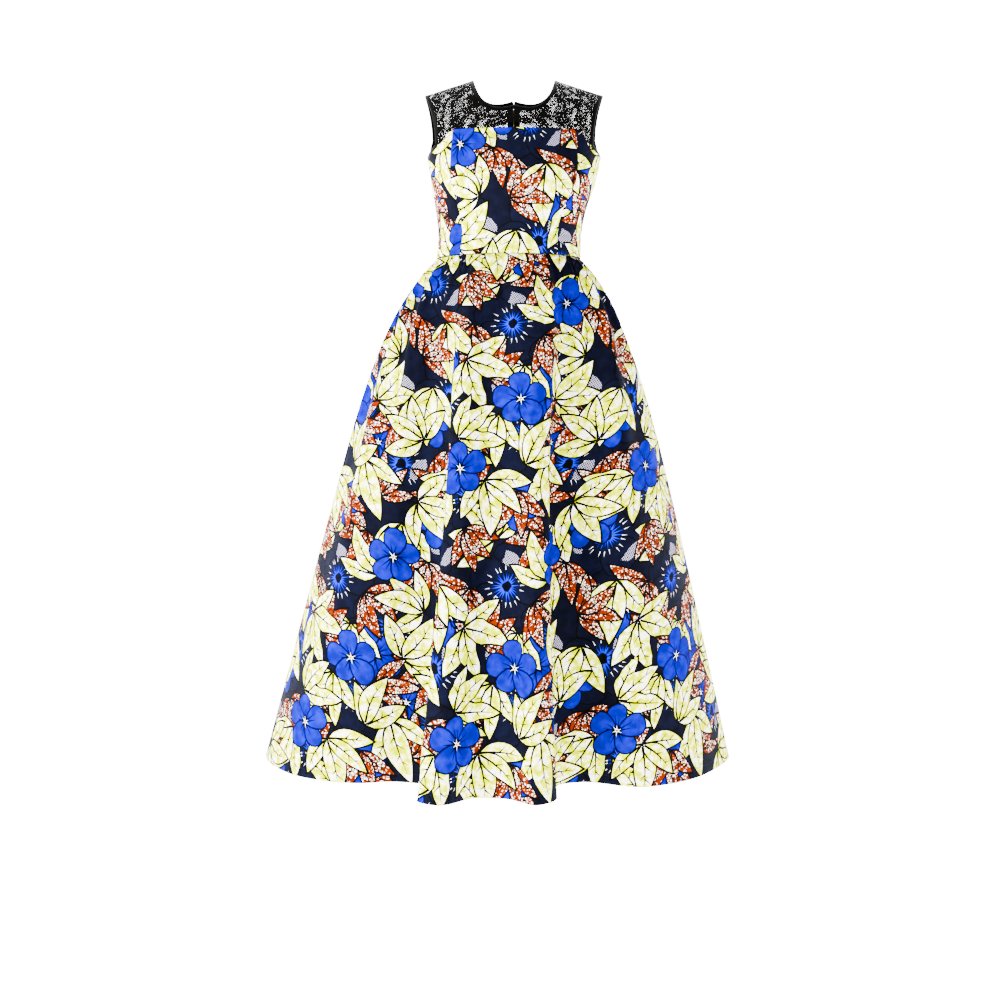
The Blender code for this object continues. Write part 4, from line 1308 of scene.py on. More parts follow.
def triangulate(piece: Piece, patches: list[Patch]) -> tuple[np.ndarray, np.ndarray, list[Ink]]:
    """Cuts a piece into triangles that follow its patches' edges, a block at a time.

    Args:
        piece: The piece.
        patches: Its patches from the bottom up.

    Returns:
        Flat points, triangles and each triangle's ink.
    """
    border = piece.border()
    grid = mesh_grid(piece, border)
    lows = np.array([patch.outline.min(axis=0) for patch in patches])
    highs = np.array([patch.outline.max(axis=0) for patch in patches])
    low = border.min(axis=0) - BLOCK_START
    columns, rows = np.ceil((border.max(axis=0) - low) / BLOCK).astype(int)
    points, triangles, inks, total = [], [], [], 0
    for column in range(columns):
        for row in range(rows):
            corner = low + np.array([column, row]) * BLOCK
            after, before = corner + BLOCK + BLOCK_MARGIN, corner - BLOCK_MARGIN
            reach = (lows < after).all(axis=1) & (highs > before).all(axis=1)
            near = [patches[index] for index in np.flatnonzero(reach)]
            made = block_triangles(corner, border, near, grid, piece.ground)
            if made:
                points.append(made[0])
                triangles.append(made[1] + total)
                inks += made[2]
                total += len(made[0])
    flat, faces = np.concatenate(points), np.concatenate(triangles)
    cells = np.round(flat / WELD).astype(int)
    _, first, index = np.unique(cells, axis=0, return_index=True, return_inverse=True)
    faces = index.reshape(-1)[faces]
    whole = (faces[:, 0] != faces[:, 1]) & (faces[:, 1] != faces[:, 2]) & (faces[:, 0] != faces[:, 2])
    return flat[first], faces[whole], [ink for ink, good in zip(inks, whole) if good]


def srgb(code: str) -> tuple[float, float, float, float]:
    """A hex colour as linear light."""
    parts = [int(code[i : i + 2], 16) / 255 for i in (1, 3, 5)]
    linear = [part / 12.92 if part <= 0.04045 else ((part + 0.055) / 1.055) ** 2.4 for part in parts]
    return (*linear, 1.0)


class Finish:
    """Builds one node-based material.

    Attributes:
        material: The material.
    """

    def __init__(self, name: str, roughness: float, metallic: float = 0.0) -> None:
        """Makes the material and its shader."""
        self.material = bpy.data.materials.new(name)
        self.material.use_nodes = True
        self.tree = self.material.node_tree
        self.shader = self.tree.nodes["Principled BSDF"]
        self.shader.inputs["Roughness"].default_value = roughness
        self.shader.inputs["Metallic"].default_value = metallic
        self.shader.inputs["Specular IOR Level"].default_value = 0.5 if metallic else 0.12

    def add(self, kind: str, inputs: dict | None = None, **settings: object) -> bpy.types.Node:
        """One node; inputs maps socket names to a value or to another socket."""
        node = self.tree.nodes.new(kind)
        for key, value in settings.items():
            setattr(node, key, value)
        for key, value in (inputs or {}).items():
            if isinstance(value, bpy.types.NodeSocket):
                self.tree.links.new(value, node.inputs[key])
            else:
                node.inputs[key].default_value = value
        return node

    def noise(self, place: bpy.types.NodeSocket, scale: float, detail: float) -> bpy.types.NodeSocket:
        """Soft uneven clouds, from 0 to 1."""
        inputs = {"Vector": place, "Scale": scale, "Detail": detail}
        return self.add("ShaderNodeTexNoise", inputs).outputs["Fac"]

    def cloth_place(self) -> bpy.types.NodeSocket:
        """The flat cloth's own coordinates, in metres."""
        return self.add("ShaderNodeUVMap", uv_map="cloth").outputs["UV"]

    def ramp(self, source: bpy.types.NodeSocket, stops: Sequence[tuple[float, str]]) -> bpy.types.NodeSocket:
        """A colour ramp from hex stops."""
        node = self.add("ShaderNodeValToRGB", {"Fac": source})
        while len(node.color_ramp.elements) < len(stops):
            node.color_ramp.elements.new(0.5)
        for element, (place, code) in zip(node.color_ramp.elements, stops):
            element.position = place
            element.color = srgb(code)
        return node.outputs["Color"]

    def mix(self, share: bpy.types.NodeSocket | float, first: object, second: object) -> bpy.types.NodeSocket:
        """A mix of two colours."""
        node = self.add("ShaderNodeMix", data_type="RGBA")
        for index, value in ((0, share), (6, first), (7, second)):
            if isinstance(value, bpy.types.NodeSocket):
                self.tree.links.new(value, node.inputs[index])
            else:
                node.inputs[index].default_value = value
        return node.outputs[2]

    def colour(self, source: bpy.types.NodeSocket) -> None:
        """Sets what colours the shader."""
        self.tree.links.new(source, self.shader.inputs["Base Color"])

    def weave(self) -> None:
        """Gives the surface threads of a plain weave, with a fine wrinkling under them."""
        place = self.cloth_place()
        waves = []
        for direction in ("X", "Y"):
            inputs = {"Vector": place, "Scale": 1 / WEAVE_PITCH * 0.32, "Distortion": 0.6}
            wave = self.add("ShaderNodeTexWave", inputs, wave_type="BANDS", bands_direction=direction)
            waves.append(wave.outputs["Fac"])
        total = self.add("ShaderNodeMath", {0: waves[0], 1: waves[1]}, operation="ADD").outputs[0]
        wrinkle = self.noise(place, 38.0, 3.0)
        inputs = {0: wrinkle, 1: WRINKLE_SHARE, 2: total}
        height = self.add("ShaderNodeMath", inputs, operation="MULTIPLY_ADD").outputs[0]
        bump = self.add("ShaderNodeBump", {"Height": height, "Strength": 0.35, "Distance": 0.0003})
        self.tree.links.new(bump.outputs["Normal"], self.shader.inputs["Normal"])


class Palette:
    """Every finish of the scene, made once."""

    def __init__(self) -> None:
        """Makes all of them."""
        self.inks: dict[Ink, bpy.types.Material] = {
            Ink.GROUND: self.plain_print(Ink.GROUND.value, "#080a1e", "#0e1129"),
            Ink.NAVY: self.plain_print(Ink.NAVY.value, "#0b0e24", "#11152f"),
            Ink.BLUE: self.plain_print(Ink.BLUE.value, "#030e90", "#081abf"),
            Ink.LIME: self.lime(),
            Ink.RUST: self.rust(),
            Ink.BLACK: self.plain_print(Ink.BLACK.value, "#030306", "#08080e"),
            Ink.HATCH: self.hatch(),
            Ink.WHITE: self.plain_print(Ink.WHITE.value, "#ecebf2", "#fbfaf6"),
            Ink.COBALT: self.plain_print(Ink.COBALT.value, "#0c24c8", "#1c3ae8"),
            Ink.LACE_NET: self.thread("lace_net", "#040403", "#0c0b0a"),
            Ink.LACE_FLORAL: self.thread("lace_floral", "#030302", "#090807"),
        }
        self.binding = self.thread("satin_binding", "#030303", "#080807", 0.45)
        self.stitch = self.thread("navy_sewing_thread", "#161a2c", "#2a3050", 0.6)
        self.tape = self.thread("black_zip_tape", "#0e0e10", "#202022", 0.8)
        self.metal = self.brass()

    @staticmethod
    def plain_print(name: str, dark: str, light: str) -> bpy.types.Material:
        """Wax print cotton of one colour, with the slight clouding of hand-dyed cloth."""
        finish = Finish(name, 0.72)
        cloud = finish.noise(finish.cloth_place(), 60.0, 4.0)
        finish.colour(finish.ramp(cloud, ((0.38, dark), (0.66, light))))
        finish.weave()
        return finish.material

    @staticmethod
    def lime() -> bpy.types.Material:
        """Leaves in near white with chartreuse clouds, as bleached and dyed twice."""
        finish = Finish(Ink.LIME.value, 0.72)
        place = finish.cloth_place()
        inputs = {"Vector": place, "Scale": 75.0, "Detail": 5.0, "Roughness": 0.62}
        cloud = finish.add("ShaderNodeTexNoise", inputs)
        base = finish.ramp(
            cloud.outputs["Fac"], ((0.43, "#fffdf4"), (0.49, "#f4f78a"), (0.54, "#dbe420"), (0.66, "#bccb00")))
        stain = finish.noise(place, 190.0, 3.0)
        speck = finish.ramp(stain, ((0.60, "#000000"), (0.70, "#ffffff")))
        finish.colour(finish.mix(speck, base, srgb("#c9d23e")))
        finish.weave()
        return finish.material

    @staticmethod
    def rust() -> bpy.types.Material:
        """Leaves in rust with a crackle of white and cream spots, as cracked wax leaves them."""
        finish = Finish(Ink.RUST.value, 0.72)
        place = finish.cloth_place()
        bent = finish.add("ShaderNodeTexNoise", {"Vector": place, "Scale": 220.0, "Detail": 2.0})
        shift = finish.add("ShaderNodeVectorMath", {0: bent.outputs["Color"], 1: (0.0022, 0.0022, 0.0)},
                           operation="MULTIPLY").outputs[0]
        moved = finish.add("ShaderNodeVectorMath", {0: place, 1: shift}, operation="ADD").outputs[0]
        cells = finish.add("ShaderNodeTexVoronoi", {"Vector": moved, "Scale": 215.0, "Randomness": 1.0},
                           feature="DISTANCE_TO_EDGE").outputs["Distance"]
        area = finish.noise(place, 52.0, 3.0)
        held = finish.add("ShaderNodeMath", {0: area, 1: -0.62, 2: cells}, operation="MULTIPLY_ADD").outputs[0]
        spots = finish.ramp(
            finish.add("ShaderNodeMath", {0: held, 1: 0.5}, operation="ADD").outputs[0],
            ((0.355, "#000000"), (0.40, "#ffffff")))
        rust = finish.ramp(area, ((0.36, "#4c1502"), (0.60, "#8a3003")))
        pale = finish.ramp(
            finish.add("ShaderNodeTexNoise", {"Vector": place, "Scale": 120.0}).outputs["Fac"],
            ((0.40, "#fffaf4"), (0.60, "#fbe0c6")))
        finish.colour(finish.mix(spots, rust, pale))
        finish.weave()
        return finish.material

    @staticmethod
    def hatch() -> bpy.types.Material:
        """Ground crossed by fine grey-lavender lines."""
        finish = Finish(Ink.HATCH.value, 0.74)
        place = finish.cloth_place()
        lines = []
        for turn in (0.6, -0.9):
            way = finish.add("ShaderNodeVectorRotate", {"Vector": place, "Angle": turn}, rotation_type="Z_AXIS")
            wave = finish.add(
                "ShaderNodeTexWave", {"Vector": way.outputs[0], "Scale": 105.0, "Distortion": 1.2},
                wave_type="BANDS", bands_direction="X").outputs["Fac"]
            lines.append(wave)
        total = finish.add("ShaderNodeMath", {0: lines[0], 1: lines[1]}, operation="MAXIMUM").outputs[0]
        finish.colour(finish.ramp(total, ((0.66, "#0b0d20"), (0.84, "#6f6c85"), (1.0, "#c9c5d6"))))
        finish.weave()
        return finish.material

    @staticmethod
    def thread(name: str, dark: str, light: str, roughness: float = 0.8) -> bpy.types.Material:
        """Black thread or tape, with the fine twist that catches a little light."""
        finish = Finish(name, roughness)
        place = finish.add("ShaderNodeTexCoord").outputs["Object"]
        twist = finish.noise(place, 900.0, 3.0)
        finish.colour(finish.ramp(twist, ((0.35, dark), (0.70, light))))
        finish.shader.inputs["Sheen Weight"].default_value = 0.02
        bump = finish.add("ShaderNodeBump", {"Height": twist, "Strength": 0.5, "Distance": 0.0003})
        finish.tree.links.new(bump.outputs["Normal"], finish.shader.inputs["Normal"])
        return finish.material

    @staticmethod
    def brass() -> bpy.types.Material:
        """Antique brass of the zip, rubbed brighter in places."""
        finish = Finish("antique_brass", 0.36, 1.0)
        place = finish.add("ShaderNodeTexCoord").outputs["Object"]
        wear = finish.noise(place, 420.0, 4.0)
        finish.colour(finish.ramp(wear, ((0.35, "#6e5a33"), (0.65, "#a98b52"))))
        return finish.material


def mesh_object(
    name: str, points: np.ndarray, faces: Sequence[Sequence[int]], materials: Sequence[bpy.types.Material]
) -> bpy.types.Object:
    """A smooth mesh object that rides on the garment."""
    mesh = bpy.data.meshes.new(name)
    mesh.from_pydata(points.tolist(), [], [list(map(int, face)) for face in faces])
    for material in materials:
        mesh.materials.append(material)
    mesh.shade_smooth()
    made = bpy.data.objects.new(name, mesh)
    bpy.context.scene.collection.objects.link(made)
    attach(made, GARMENT)
    return made


def keep_flat_places(mesh: bpy.types.Mesh, flat: np.ndarray) -> None:
    """Stores each point's place in the flat cloth, which the finishes read."""
    layer = mesh.uv_layers.new(name="cloth")
    corners = np.zeros(len(mesh.loops), np.int32)
    mesh.loops.foreach_get("vertex_index", corners)
    layer.data.foreach_set("uv", flat[corners].astype(np.float32).ravel())


def worked_piece(piece: Piece, patches: list[Patch], palette: Palette) -> bpy.types.Object:
    """Lays a printed or worked cut on the dress."""
    flat, triangles, inks = triangulate(piece, patches)
    keep = np.array([ink is not Ink.OPEN for ink in inks])
    triangles = triangles[keep]
    inks = [ink for ink in inks if ink is not Ink.OPEN]
    used, index = np.unique(triangles, return_inverse=True)
    flat, triangles = flat[used], index.reshape(-1, 3)
    places, normals = piece.cloth.place_and_normal(flat)
    a, b, c = (places[triangles[:, i]] for i in range(3))
    facing = (np.cross(b - a, c - a) * normals[triangles[:, 0]]).sum(axis=1)
    if np.median(facing) < 0:
        triangles = triangles[:, ::-1]
    slots = sorted(set(inks), key=lambda ink: ink.value)
    made = mesh_object("cloth_" + piece.node, places, triangles, [palette.inks[ink] for ink in slots])
    number = {ink: slot for slot, ink in enumerate(slots)}
    mesh = made.data
    mesh.polygons.foreach_set("material_index", np.array([number[ink] for ink in inks], np.int32))
    keep_flat_places(mesh, flat)
    mesh.normals_split_custom_set_from_vertices([tuple(normal) for normal in normals])
    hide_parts(piece.node)
    return made


def skirt_piece(node: str, side: int, start: float, end: float, shift: tuple[float, float]) -> Piece:
    """A skirt panel between two shares of its side's cloth."""
    across = np.linspace(start, end, SKIRT_TABLE[0])
    down = np.linspace(0, 1, SKIRT_TABLE[1]) ** 1.3
    cloth = Cloth(
        lambda share, level: skirt_point(np.clip(share, -1, 1), np.maximum(level, 0), side),
        across,
        down,
        lambda share, level: skirt_gathers(share, level, side),
        SKIRT_FRONT_CREASES if side < 0 else SKIRT_BACK_CREASES,
    )
    steps = np.linspace(start, end, 161)
    levels = np.linspace(0, 1, 61)[1:-1]
    outline = np.concatenate([
        np.stack([steps, 0 * steps], axis=-1),
        np.stack([np.full(len(levels), end), levels], axis=-1),
        np.stack([steps[::-1], 0 * steps + 1], axis=-1),
        np.stack([np.full(len(levels), start), levels[::-1]], axis=-1),
    ])
    return Piece(node, cloth, outline, shift, skirt_spacing)


def skirt_spacing(depth: float) -> tuple[float, float]:
    """How far apart a skirt's mesh points are at a depth below the waist."""
    if depth < 0.05:
        return 0.0022, 0.0034
    if depth < 0.14:
        return 0.0038, 0.0068
    return 0.0095, 0.0140


def bodice_piece(
    node: str,
    edges: tuple[Callable, Callable],
    top: np.ndarray,
    side: int,
    sign: int,
    shift: tuple[float, float],
) -> Piece:
    """A lower bodice panel between two edges, under a top line given by bearings and lengths.

    Args:
        node: The node that it stands for.
        edges: Its inner and outer edges, each a bearing for a height.
        top: Its top line from the outer edge to the inner one.
        side: -1 for the front and 1 for the back.
        sign: -1 where it lies left of the middle.
        shift: Where its cut lies in the repeat.

    Returns:
        The piece.
    """
    inner, outer = edges
    heights = np.linspace(BODICE_TABLE_TOP, WAIST, BODICE_TABLE[1])
    low = float(np.min(inner(heights)))
    across = np.linspace(low, math.pi / 2, BODICE_TABLE[0])
    if sign < 0:
        across = -across[::-1]
    cloth = Cloth(
        lambda bearing, height: lower_bodice_point(np.clip(bearing, -math.pi / 2, math.pi / 2), height, side),
        across,
        heights,
        bodice_detail(side),
    )
    top_height = shoulder_height(top[:, 0]) - fall_of(top[:, 1])
    down = np.linspace(0, 1, 41)
    left = top_height[-1] + (WAIST - top_height[-1]) * down
    right = top_height[0] + (WAIST - top_height[0]) * down
    foot = np.linspace(inner(np.array([WAIST]))[0], outer(np.array([WAIST]))[0], 61)
    outline = np.concatenate([
        np.stack([top[:, 0], top_height], axis=-1),
        np.stack([inner(left), left], axis=-1)[1:],
        np.stack([foot, 0 * foot + WAIST], axis=-1)[1:-1],
        np.stack([outer(right), right], axis=-1)[:0:-1],
    ])
    return Piece(node, cloth, outline * (sign, 1), shift, bodice_spacing)


def bodice_detail(side: int) -> Callable[[np.ndarray, np.ndarray], np.ndarray]:
    """Slight strain lines of the fitted bodice: level ones at the waist, slanting ones under the arms."""

    def detail(bearing: np.ndarray, height: np.ndarray) -> np.ndarray:
        waist = np.exp(-(((height + 0.250) / 0.022) ** 2))
        level = 0.0006 * np.sin(height * 420 + 2.0 * np.sin(3.0 * bearing + side)) * waist
        arm = np.exp(-(((height + 0.125) / 0.030) ** 2)) * np.clip(np.abs(bearing) / 1.2 - 0.3, 0, 1)
        slant = 0.0008 * np.sin(220 * height + 16 * np.abs(bearing)) * arm
        seams = [height - WAIST, (math.pi / 2 - np.abs(bearing)) * 0.09]
        if side < 0:
            seams.append(np.abs(np.abs(bearing) - princess_bearing(height)) * 0.12)
        nearest = np.min(np.abs(seams), axis=0)
        return level + slant - SEAM_PRESS * np.clip(1 - nearest / SEAM_WIDTH, 0, 1)

    return detail


def bodice_spacing(depth: float) -> tuple[float, float]:
    """How far apart a bodice's mesh points are."""
    return 0.0050, 0.0050


def stretch(places: Sequence[Place], cells: int) -> np.ndarray:
    """Evenly spaced bearings and lengths along the smooth line through some places."""
    rows = np.array([(place.x, place.z) for place in places])
    knots = np.concatenate([[0], np.cumsum(np.hypot(*np.diff(rows, axis=0).T))])
    at = np.linspace(0, knots[-1], 8 * cells + 1)
    fine = np.stack([curve_through(knots, rows[:, 0], at), curve_through(knots, rows[:, 1], at)], axis=-1)
    bearing = np.arcsin(np.clip(fine[:, 0] / section_size("half_width", fine[:, 1]), -1, 1))
    flat = np.stack([bearing, length_of(shoulder_height(bearing) - fine[:, 1])], axis=-1)
    steps = np.diff(flat, axis=0) * (SECTIONS[-1].half_width, 1)
    along = np.concatenate([[0], np.cumsum(np.hypot(*steps.T))])
    even = np.linspace(0, along[-1], cells + 1)
    return np.stack([np.interp(even, along, flat[:, 0]), np.interp(even, along, flat[:, 1])], axis=-1)


def neckline(cells: int, drop: float) -> np.ndarray:
    """Bearings and lengths round a quarter of the neck, from the shoulder seam to the middle."""
    angle = np.linspace(0, 1, cells + 1) ** NECK_SPREAD * math.pi / 2
    bearing = np.arcsin(NECK_HALF_WIDTH * np.cos(angle) ** NECK_SQUARENESS / SECTIONS[-1].half_width)
    return np.stack([bearing, drop * np.sin(angle) ** NECK_SQUARENESS], axis=-1)


def underarm_curve(side: int, cells: int) -> np.ndarray:
    """Bearings and lengths from the yoke's lower corner on the armhole, round to the side seam."""
    start = stretch(FRONT_ARMHOLE if side < 0 else BACK_ARMHOLE, 10)[-1]
    turn = np.linspace(0, 1, cells + 1)
    bearing = start[0] + (math.pi / 2 - start[0]) * turn
    height = shoulder_height(start[0]) - fall_of(start[1])
    heights = UNDERARM + (height - UNDERARM) * (1 - np.sin(turn * math.pi / 2)) ** 1.2
    return np.stack([bearing, length_of(shoulder_height(bearing) - heights)], axis=-1)


def princess_bearing(height: np.ndarray) -> np.ndarray:
    """Bearing of the princess seam at a height."""
    knots = np.array([place.z for place in PRINCESS_SEAM])
    across = curve_through(knots, np.array([place.x for place in PRINCESS_SEAM]), height)
    return np.arcsin(across / section_size("half_width", height))


def yoke_lower_edge(side: int) -> np.ndarray:
    """Bearings and lengths of a yoke's lower edge, from the armhole to the middle."""
    if side < 0:
        tail = stretch(FRONT_YOKE_TAIL, 12)
        seam = stretch((FRONT_YOKE_TAIL[-1], Place("middle", 0.0, YOKE_SEAM)), 40)
        return np.concatenate([tail, seam[1:]])
    return stretch((BACK_ARMHOLE[-1], Place("middle", 0.0, YOKE_SEAM)), 48)


def zip_bearing(height: np.ndarray) -> np.ndarray:
    """Bearing of the back's edge beside the zip."""
    return np.arcsin(ZIP_SLIT / 2 / section_size("half_width", height))


def side_bearing(height: np.ndarray) -> np.ndarray:
    """Bearing of the side seam."""
    return 0 * height + math.pi / 2


def bodice_pieces() -> list[Piece]:
    """The lower bodice: centre front, side fronts and backs."""
    front_edge, back_edge = yoke_lower_edge(-1), yoke_lower_edge(1)
    tail, seam = front_edge[:13], front_edge[12:]
    full = np.concatenate([seam, (seam * (-1, 1))[-2::-1]])
    centre = bodice_piece(
        "bodice_centre_front", (lambda z: -princess_bearing(z), princess_bearing), full, -1, 1, (0.212, -0.035))
    centre.cloth = Cloth(
        lambda bearing, height: lower_bodice_point(bearing, height, -1),
        np.linspace(-1.2, 1.2, BODICE_TABLE[0]),
        np.linspace(BODICE_TABLE_TOP, WAIST, BODICE_TABLE[1]),
        bodice_detail(-1),
    )
    pieces = [centre]
    side_top = np.concatenate([underarm_curve(-1, 12)[:0:-1], tail])
    back_top = np.concatenate([underarm_curve(1, 12)[:0:-1], back_edge])
    for sign, hand in ((-1, "left"), (1, "right")):
        edges, shift = (princess_bearing, side_bearing), (0.05 * sign, 0.12)
        pieces.append(bodice_piece("bodice_side_front_" + hand, edges, side_top, -1, sign, shift))
        edges, shift = (zip_bearing, side_bearing), (0.13 + 0.04 * sign, 0.30)
        pieces.append(bodice_piece("bodice_back_" + hand, edges, back_top, 1, sign, shift))
    return pieces


def yoke_pieces() -> list[Piece]:
    """The lace yokes: the whole front, and the back's two halves beside the zip."""
    above_seam = (0.0, SEAM_GAP * 0.9)
    pieces = []
    for side, names in ((-1, ("yoke_front",)), (1, ("yoke_back_left", "yoke_back_right"))):
        armhole = stretch(FRONT_ARMHOLE if side < 0 else BACK_ARMHOLE, 24)
        outer = np.maximum(np.concatenate([armhole, yoke_lower_edge(side)[1:]]), above_seam)
        inner = np.maximum(neckline(40, NECK_DROP_FRONT if side < 0 else NECK_DROP_BACK), above_seam)
        shoulder = outer[0] + (inner[0] - outer[0]) * np.linspace(0, 1, 12)[1:-1, None]
        if side < 0:
            right = np.concatenate([outer[::-1], shoulder, inner])
            outlines = [np.concatenate([right, (right * (-1, 1))[-2:0:-1]])]
            spreads = [np.linspace(-1.3, 1.3, 261)]
        else:
            slit = zip_bearing(np.array([YOKE_SEAM]))[0]
            right = np.maximum(np.concatenate([outer, inner[::-1], shoulder[::-1]]), (slit, 0))
            outlines = [right * (-1, 1), right]
            spreads = [-np.linspace(slit, 1.3, 161)[::-1], np.linspace(slit, 1.3, 161)]
        for name, outline, across in zip(names, outlines, spreads):
            cloth = Cloth(
                lambda bearing, length, side=side: bodice_point(
                    np.clip(bearing, -math.pi / 2, math.pi / 2), np.maximum(length, 0), side),
                across,
                np.linspace(0, YOKE_TABLE_LENGTH, YOKE_TABLE_ROWS),
            )
            pieces.append(
                Piece(name, cloth, outline, LACE_SHIFT, lace_spacing, Ink.LACE_NET, "black_lace", "hung"))
    return pieces


def lace_spacing(depth: float) -> tuple[float, float]:
    """How far apart the lace's extra mesh points are."""
    return 0.0060, 0.0060


def edge_frames(flat: np.ndarray, side: int, outwards: int) -> tuple[np.ndarray, np.ndarray, np.ndarray]:
    """Places along an edge, the way off the cloth in its own plane, and the way square to it.

    Args:
        flat: Bearings and lengths along the edge.
        side: -1 for the front and 1 for the back.
        outwards: 1 or -1, whichever points off the cloth.

    Returns:
        Three arrays.
    """
    step = 1e-4
    bearing, length = flat[:, 0], flat[:, 1]
    here = bodice_point(bearing, length, side)
    across = bodice_point(bearing + step, length, side) - bodice_point(bearing - step, length, side)
    down = bodice_point(bearing, length + step, side) - here
    normal = np.cross(across, down) * side
    normal /= np.linalg.norm(normal, axis=1, keepdims=True)
    off = np.cross(np.gradient(here, axis=0), normal) * outwards
    return here, off / np.linalg.norm(off, axis=1, keepdims=True), normal


def folded_strip(
    node: str, edge: tuple[np.ndarray, np.ndarray, np.ndarray], closed: bool, finish: bpy.types.Material
) -> bpy.types.Object:
    """A binding folded over an edge, flat and slightly fuller at its fold.

    Args:
        node: The node that it stands for.
        edge: Places, ways off the cloth and ways square to it.
        closed: Whether it runs all the way round.
        finish: Its finish.
    """
    here, off, normal = edge
    for _ in range(2):
        near = [np.roll(normal, 1, axis=0), np.roll(normal, -1, axis=0)]
        if not closed:
            near[0][0], near[1][-1] = normal[0], normal[-1]
        normal = normal + (near[0] + near[1]) / 2
        normal /= np.linalg.norm(normal, axis=1, keepdims=True)
    middle = here - normal * LACE_WALL / 2
    profile = [*BINDING_SECTION, *((out, -half) for out, half in reversed(BINDING_SECTION))]
    rings = np.stack([middle + off * out + normal * lift for out, lift in profile], axis=1)
    count, sides = rings.shape[:2]
    faces = []
    for ring in range(count if closed else count - 1):
        here_row, next_row = ring * sides, (ring + 1) % count * sides
        for side in range(sides):
            beside = (side + 1) % sides
            faces.append((here_row + side, next_row + side, next_row + beside, here_row + beside))
    if not closed:
        faces.append(tuple(range(sides)))
        faces.append(tuple((count - 1) * sides + side for side in reversed(range(sides))))
    made = mesh_object("bias_" + node, rings.reshape(-1, 3), faces, [finish])
    made.data.set_sharp_from_angle(angle=math.radians(70))
    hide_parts(node)
    return made


def bindings(finish: bpy.types.Material) -> None:
    """The neck binding, open at the zip, and the two armhole bindings."""
    front, back = neckline(60, NECK_DROP_FRONT), neckline(44, NECK_DROP_BACK)
    front_line = np.concatenate([front * (-1, 1), front[-2::-1]])
    back[-1, 0] = (ZIP_SLIT / 2 + SEAM_GAP) / SECTIONS[-1].half_width
    right = edge_frames(back, 1, -1)
    left = [part[::-1] * (-1, 1, 1) for part in right]
    middle = edge_frames(front_line, -1, -1)
    neck = tuple(np.concatenate([a, b[1:-1], c]) for a, b, c in zip(left, middle, right))
    folded_strip("neck_binding", neck, False, finish)
    for sign, hand in ((-1, "left"), (1, "right")):
        halves = []
        for side, rows in ((-1, FRONT_ARMHOLE), (1, BACK_ARMHOLE)):
            flat = np.concatenate([stretch(rows, 40), underarm_curve(side, 20)[1:]])
            halves.append(edge_frames(flat, side, side))
        loop = tuple(np.concatenate([a, b[-2:0:-1]]) * (sign, 1, 1) for a, b in zip(*halves))
        folded_strip("armhole_binding_" + hand, loop, True, finish)


def stitches(
    name: str, cloth: Cloth, ends: tuple[np.ndarray, np.ndarray], finish: bpy.types.Material
) -> bpy.types.Object:
    """A row of short stitches on a cloth's face.

    Args:
        name: Name of the row.
        cloth: The cloth.
        ends: Flat places where the stitches start and end.
        finish: The thread.
    """
    way = cloth.place(ends[1]) - cloth.place(ends[0])
    rings = []
    for share, lift, thick in STITCH_RINGS:
        here, normal = cloth.place_and_normal(ends[0] + (ends[1] - ends[0]) * share)
        beside = np.cross(normal, way)
        beside *= THREAD_RADIUS * thick / np.linalg.norm(beside, axis=1, keepdims=True)
        here, out = here + normal * lift, normal * THREAD_RADIUS * thick
        rings.append(np.stack([here + beside, here + out, here - beside, here - out], axis=1))
    points = np.stack(rings, axis=1)
    stitch = [
        (4 * ring + side, 4 * ring + (side + 1) % 4, 4 * ring + 4 + (side + 1) % 4, 4 * ring + 4 + side)
        for ring in range(3)
        for side in range(4)
    ]
    stitch += [(3, 2, 1, 0), (12, 13, 14, 15)]
    faces = [[16 * index + corner for corner in face] for index in range(len(points)) for face in stitch]
    made = mesh_object(name, points.reshape(-1, 3), faces, [finish])
    return made


def hem_stitches(piece: Piece, finish: bpy.types.Material) -> bpy.types.Object:
    """The row that holds a skirt panel's hem."""
    border = piece.border()
    bottom = piece.cloth.fallen[-1]
    hem = border[border[:, 1] > bottom - 1e-6]
    count = int((hem[:, 0].max() - hem[:, 0].min() - 2 * HEM_STITCH_MARGIN) / HEM_STITCH_PITCH)
    starts = hem[:, 0].min() + HEM_STITCH_MARGIN + np.arange(count) * HEM_STITCH_PITCH
    level = np.full(count, bottom - HEM_TURNING) + 0.0002 * np.sin(np.arange(count) * 1.7)
    ends = np.stack([starts, level], axis=-1), np.stack([starts + HEM_STITCH, level], axis=-1)
    return stitches("hem_stitches_" + piece.node, piece.cloth, ends, finish)


def hem_turning(piece: Piece, finish: bpy.types.Material) -> bpy.types.Object:
    """The cloth turned up inside a skirt panel, with its rounded fold at the hem."""
    border = piece.border()
    bottom = piece.cloth.fallen[-1]
    hem = border[border[:, 1] > bottom - 1e-6]
    across = np.linspace(hem[:, 0].min() + 0.0002, hem[:, 0].max() - 0.0002, 420)
    rows = ((HEM_TURNING, -0.0016, 0.0), (0.006, -0.0015, 0.0), (0.001, -0.0015, 0.0), (0.0, -0.0011, -0.0005),
            (0.0, -0.0003, -0.0005), (0.0, 0.0, 0.0))
    places = []
    for above, off, lower in rows:
        flat = np.stack([across, np.full(len(across), bottom - above)], axis=-1)
        places.append(piece.cloth.place(flat, off) + (0, 0, lower))
    wide = len(across)
    points = np.concatenate(places)
    faces = [
        (row * wide + column, row * wide + column + 1, (row + 1) * wide + column + 1, (row + 1) * wide + column)
        for row in range(len(rows) - 1)
        for column in range(wide - 1)
    ]
    made = mesh_object("hem_turning_" + piece.node, points, faces, [finish])
    spread = np.stack([np.tile(across, len(rows)), np.repeat([row[0] for row in rows], wide)], axis=-1)
    keep_flat_places(made.data, spread)
    return made


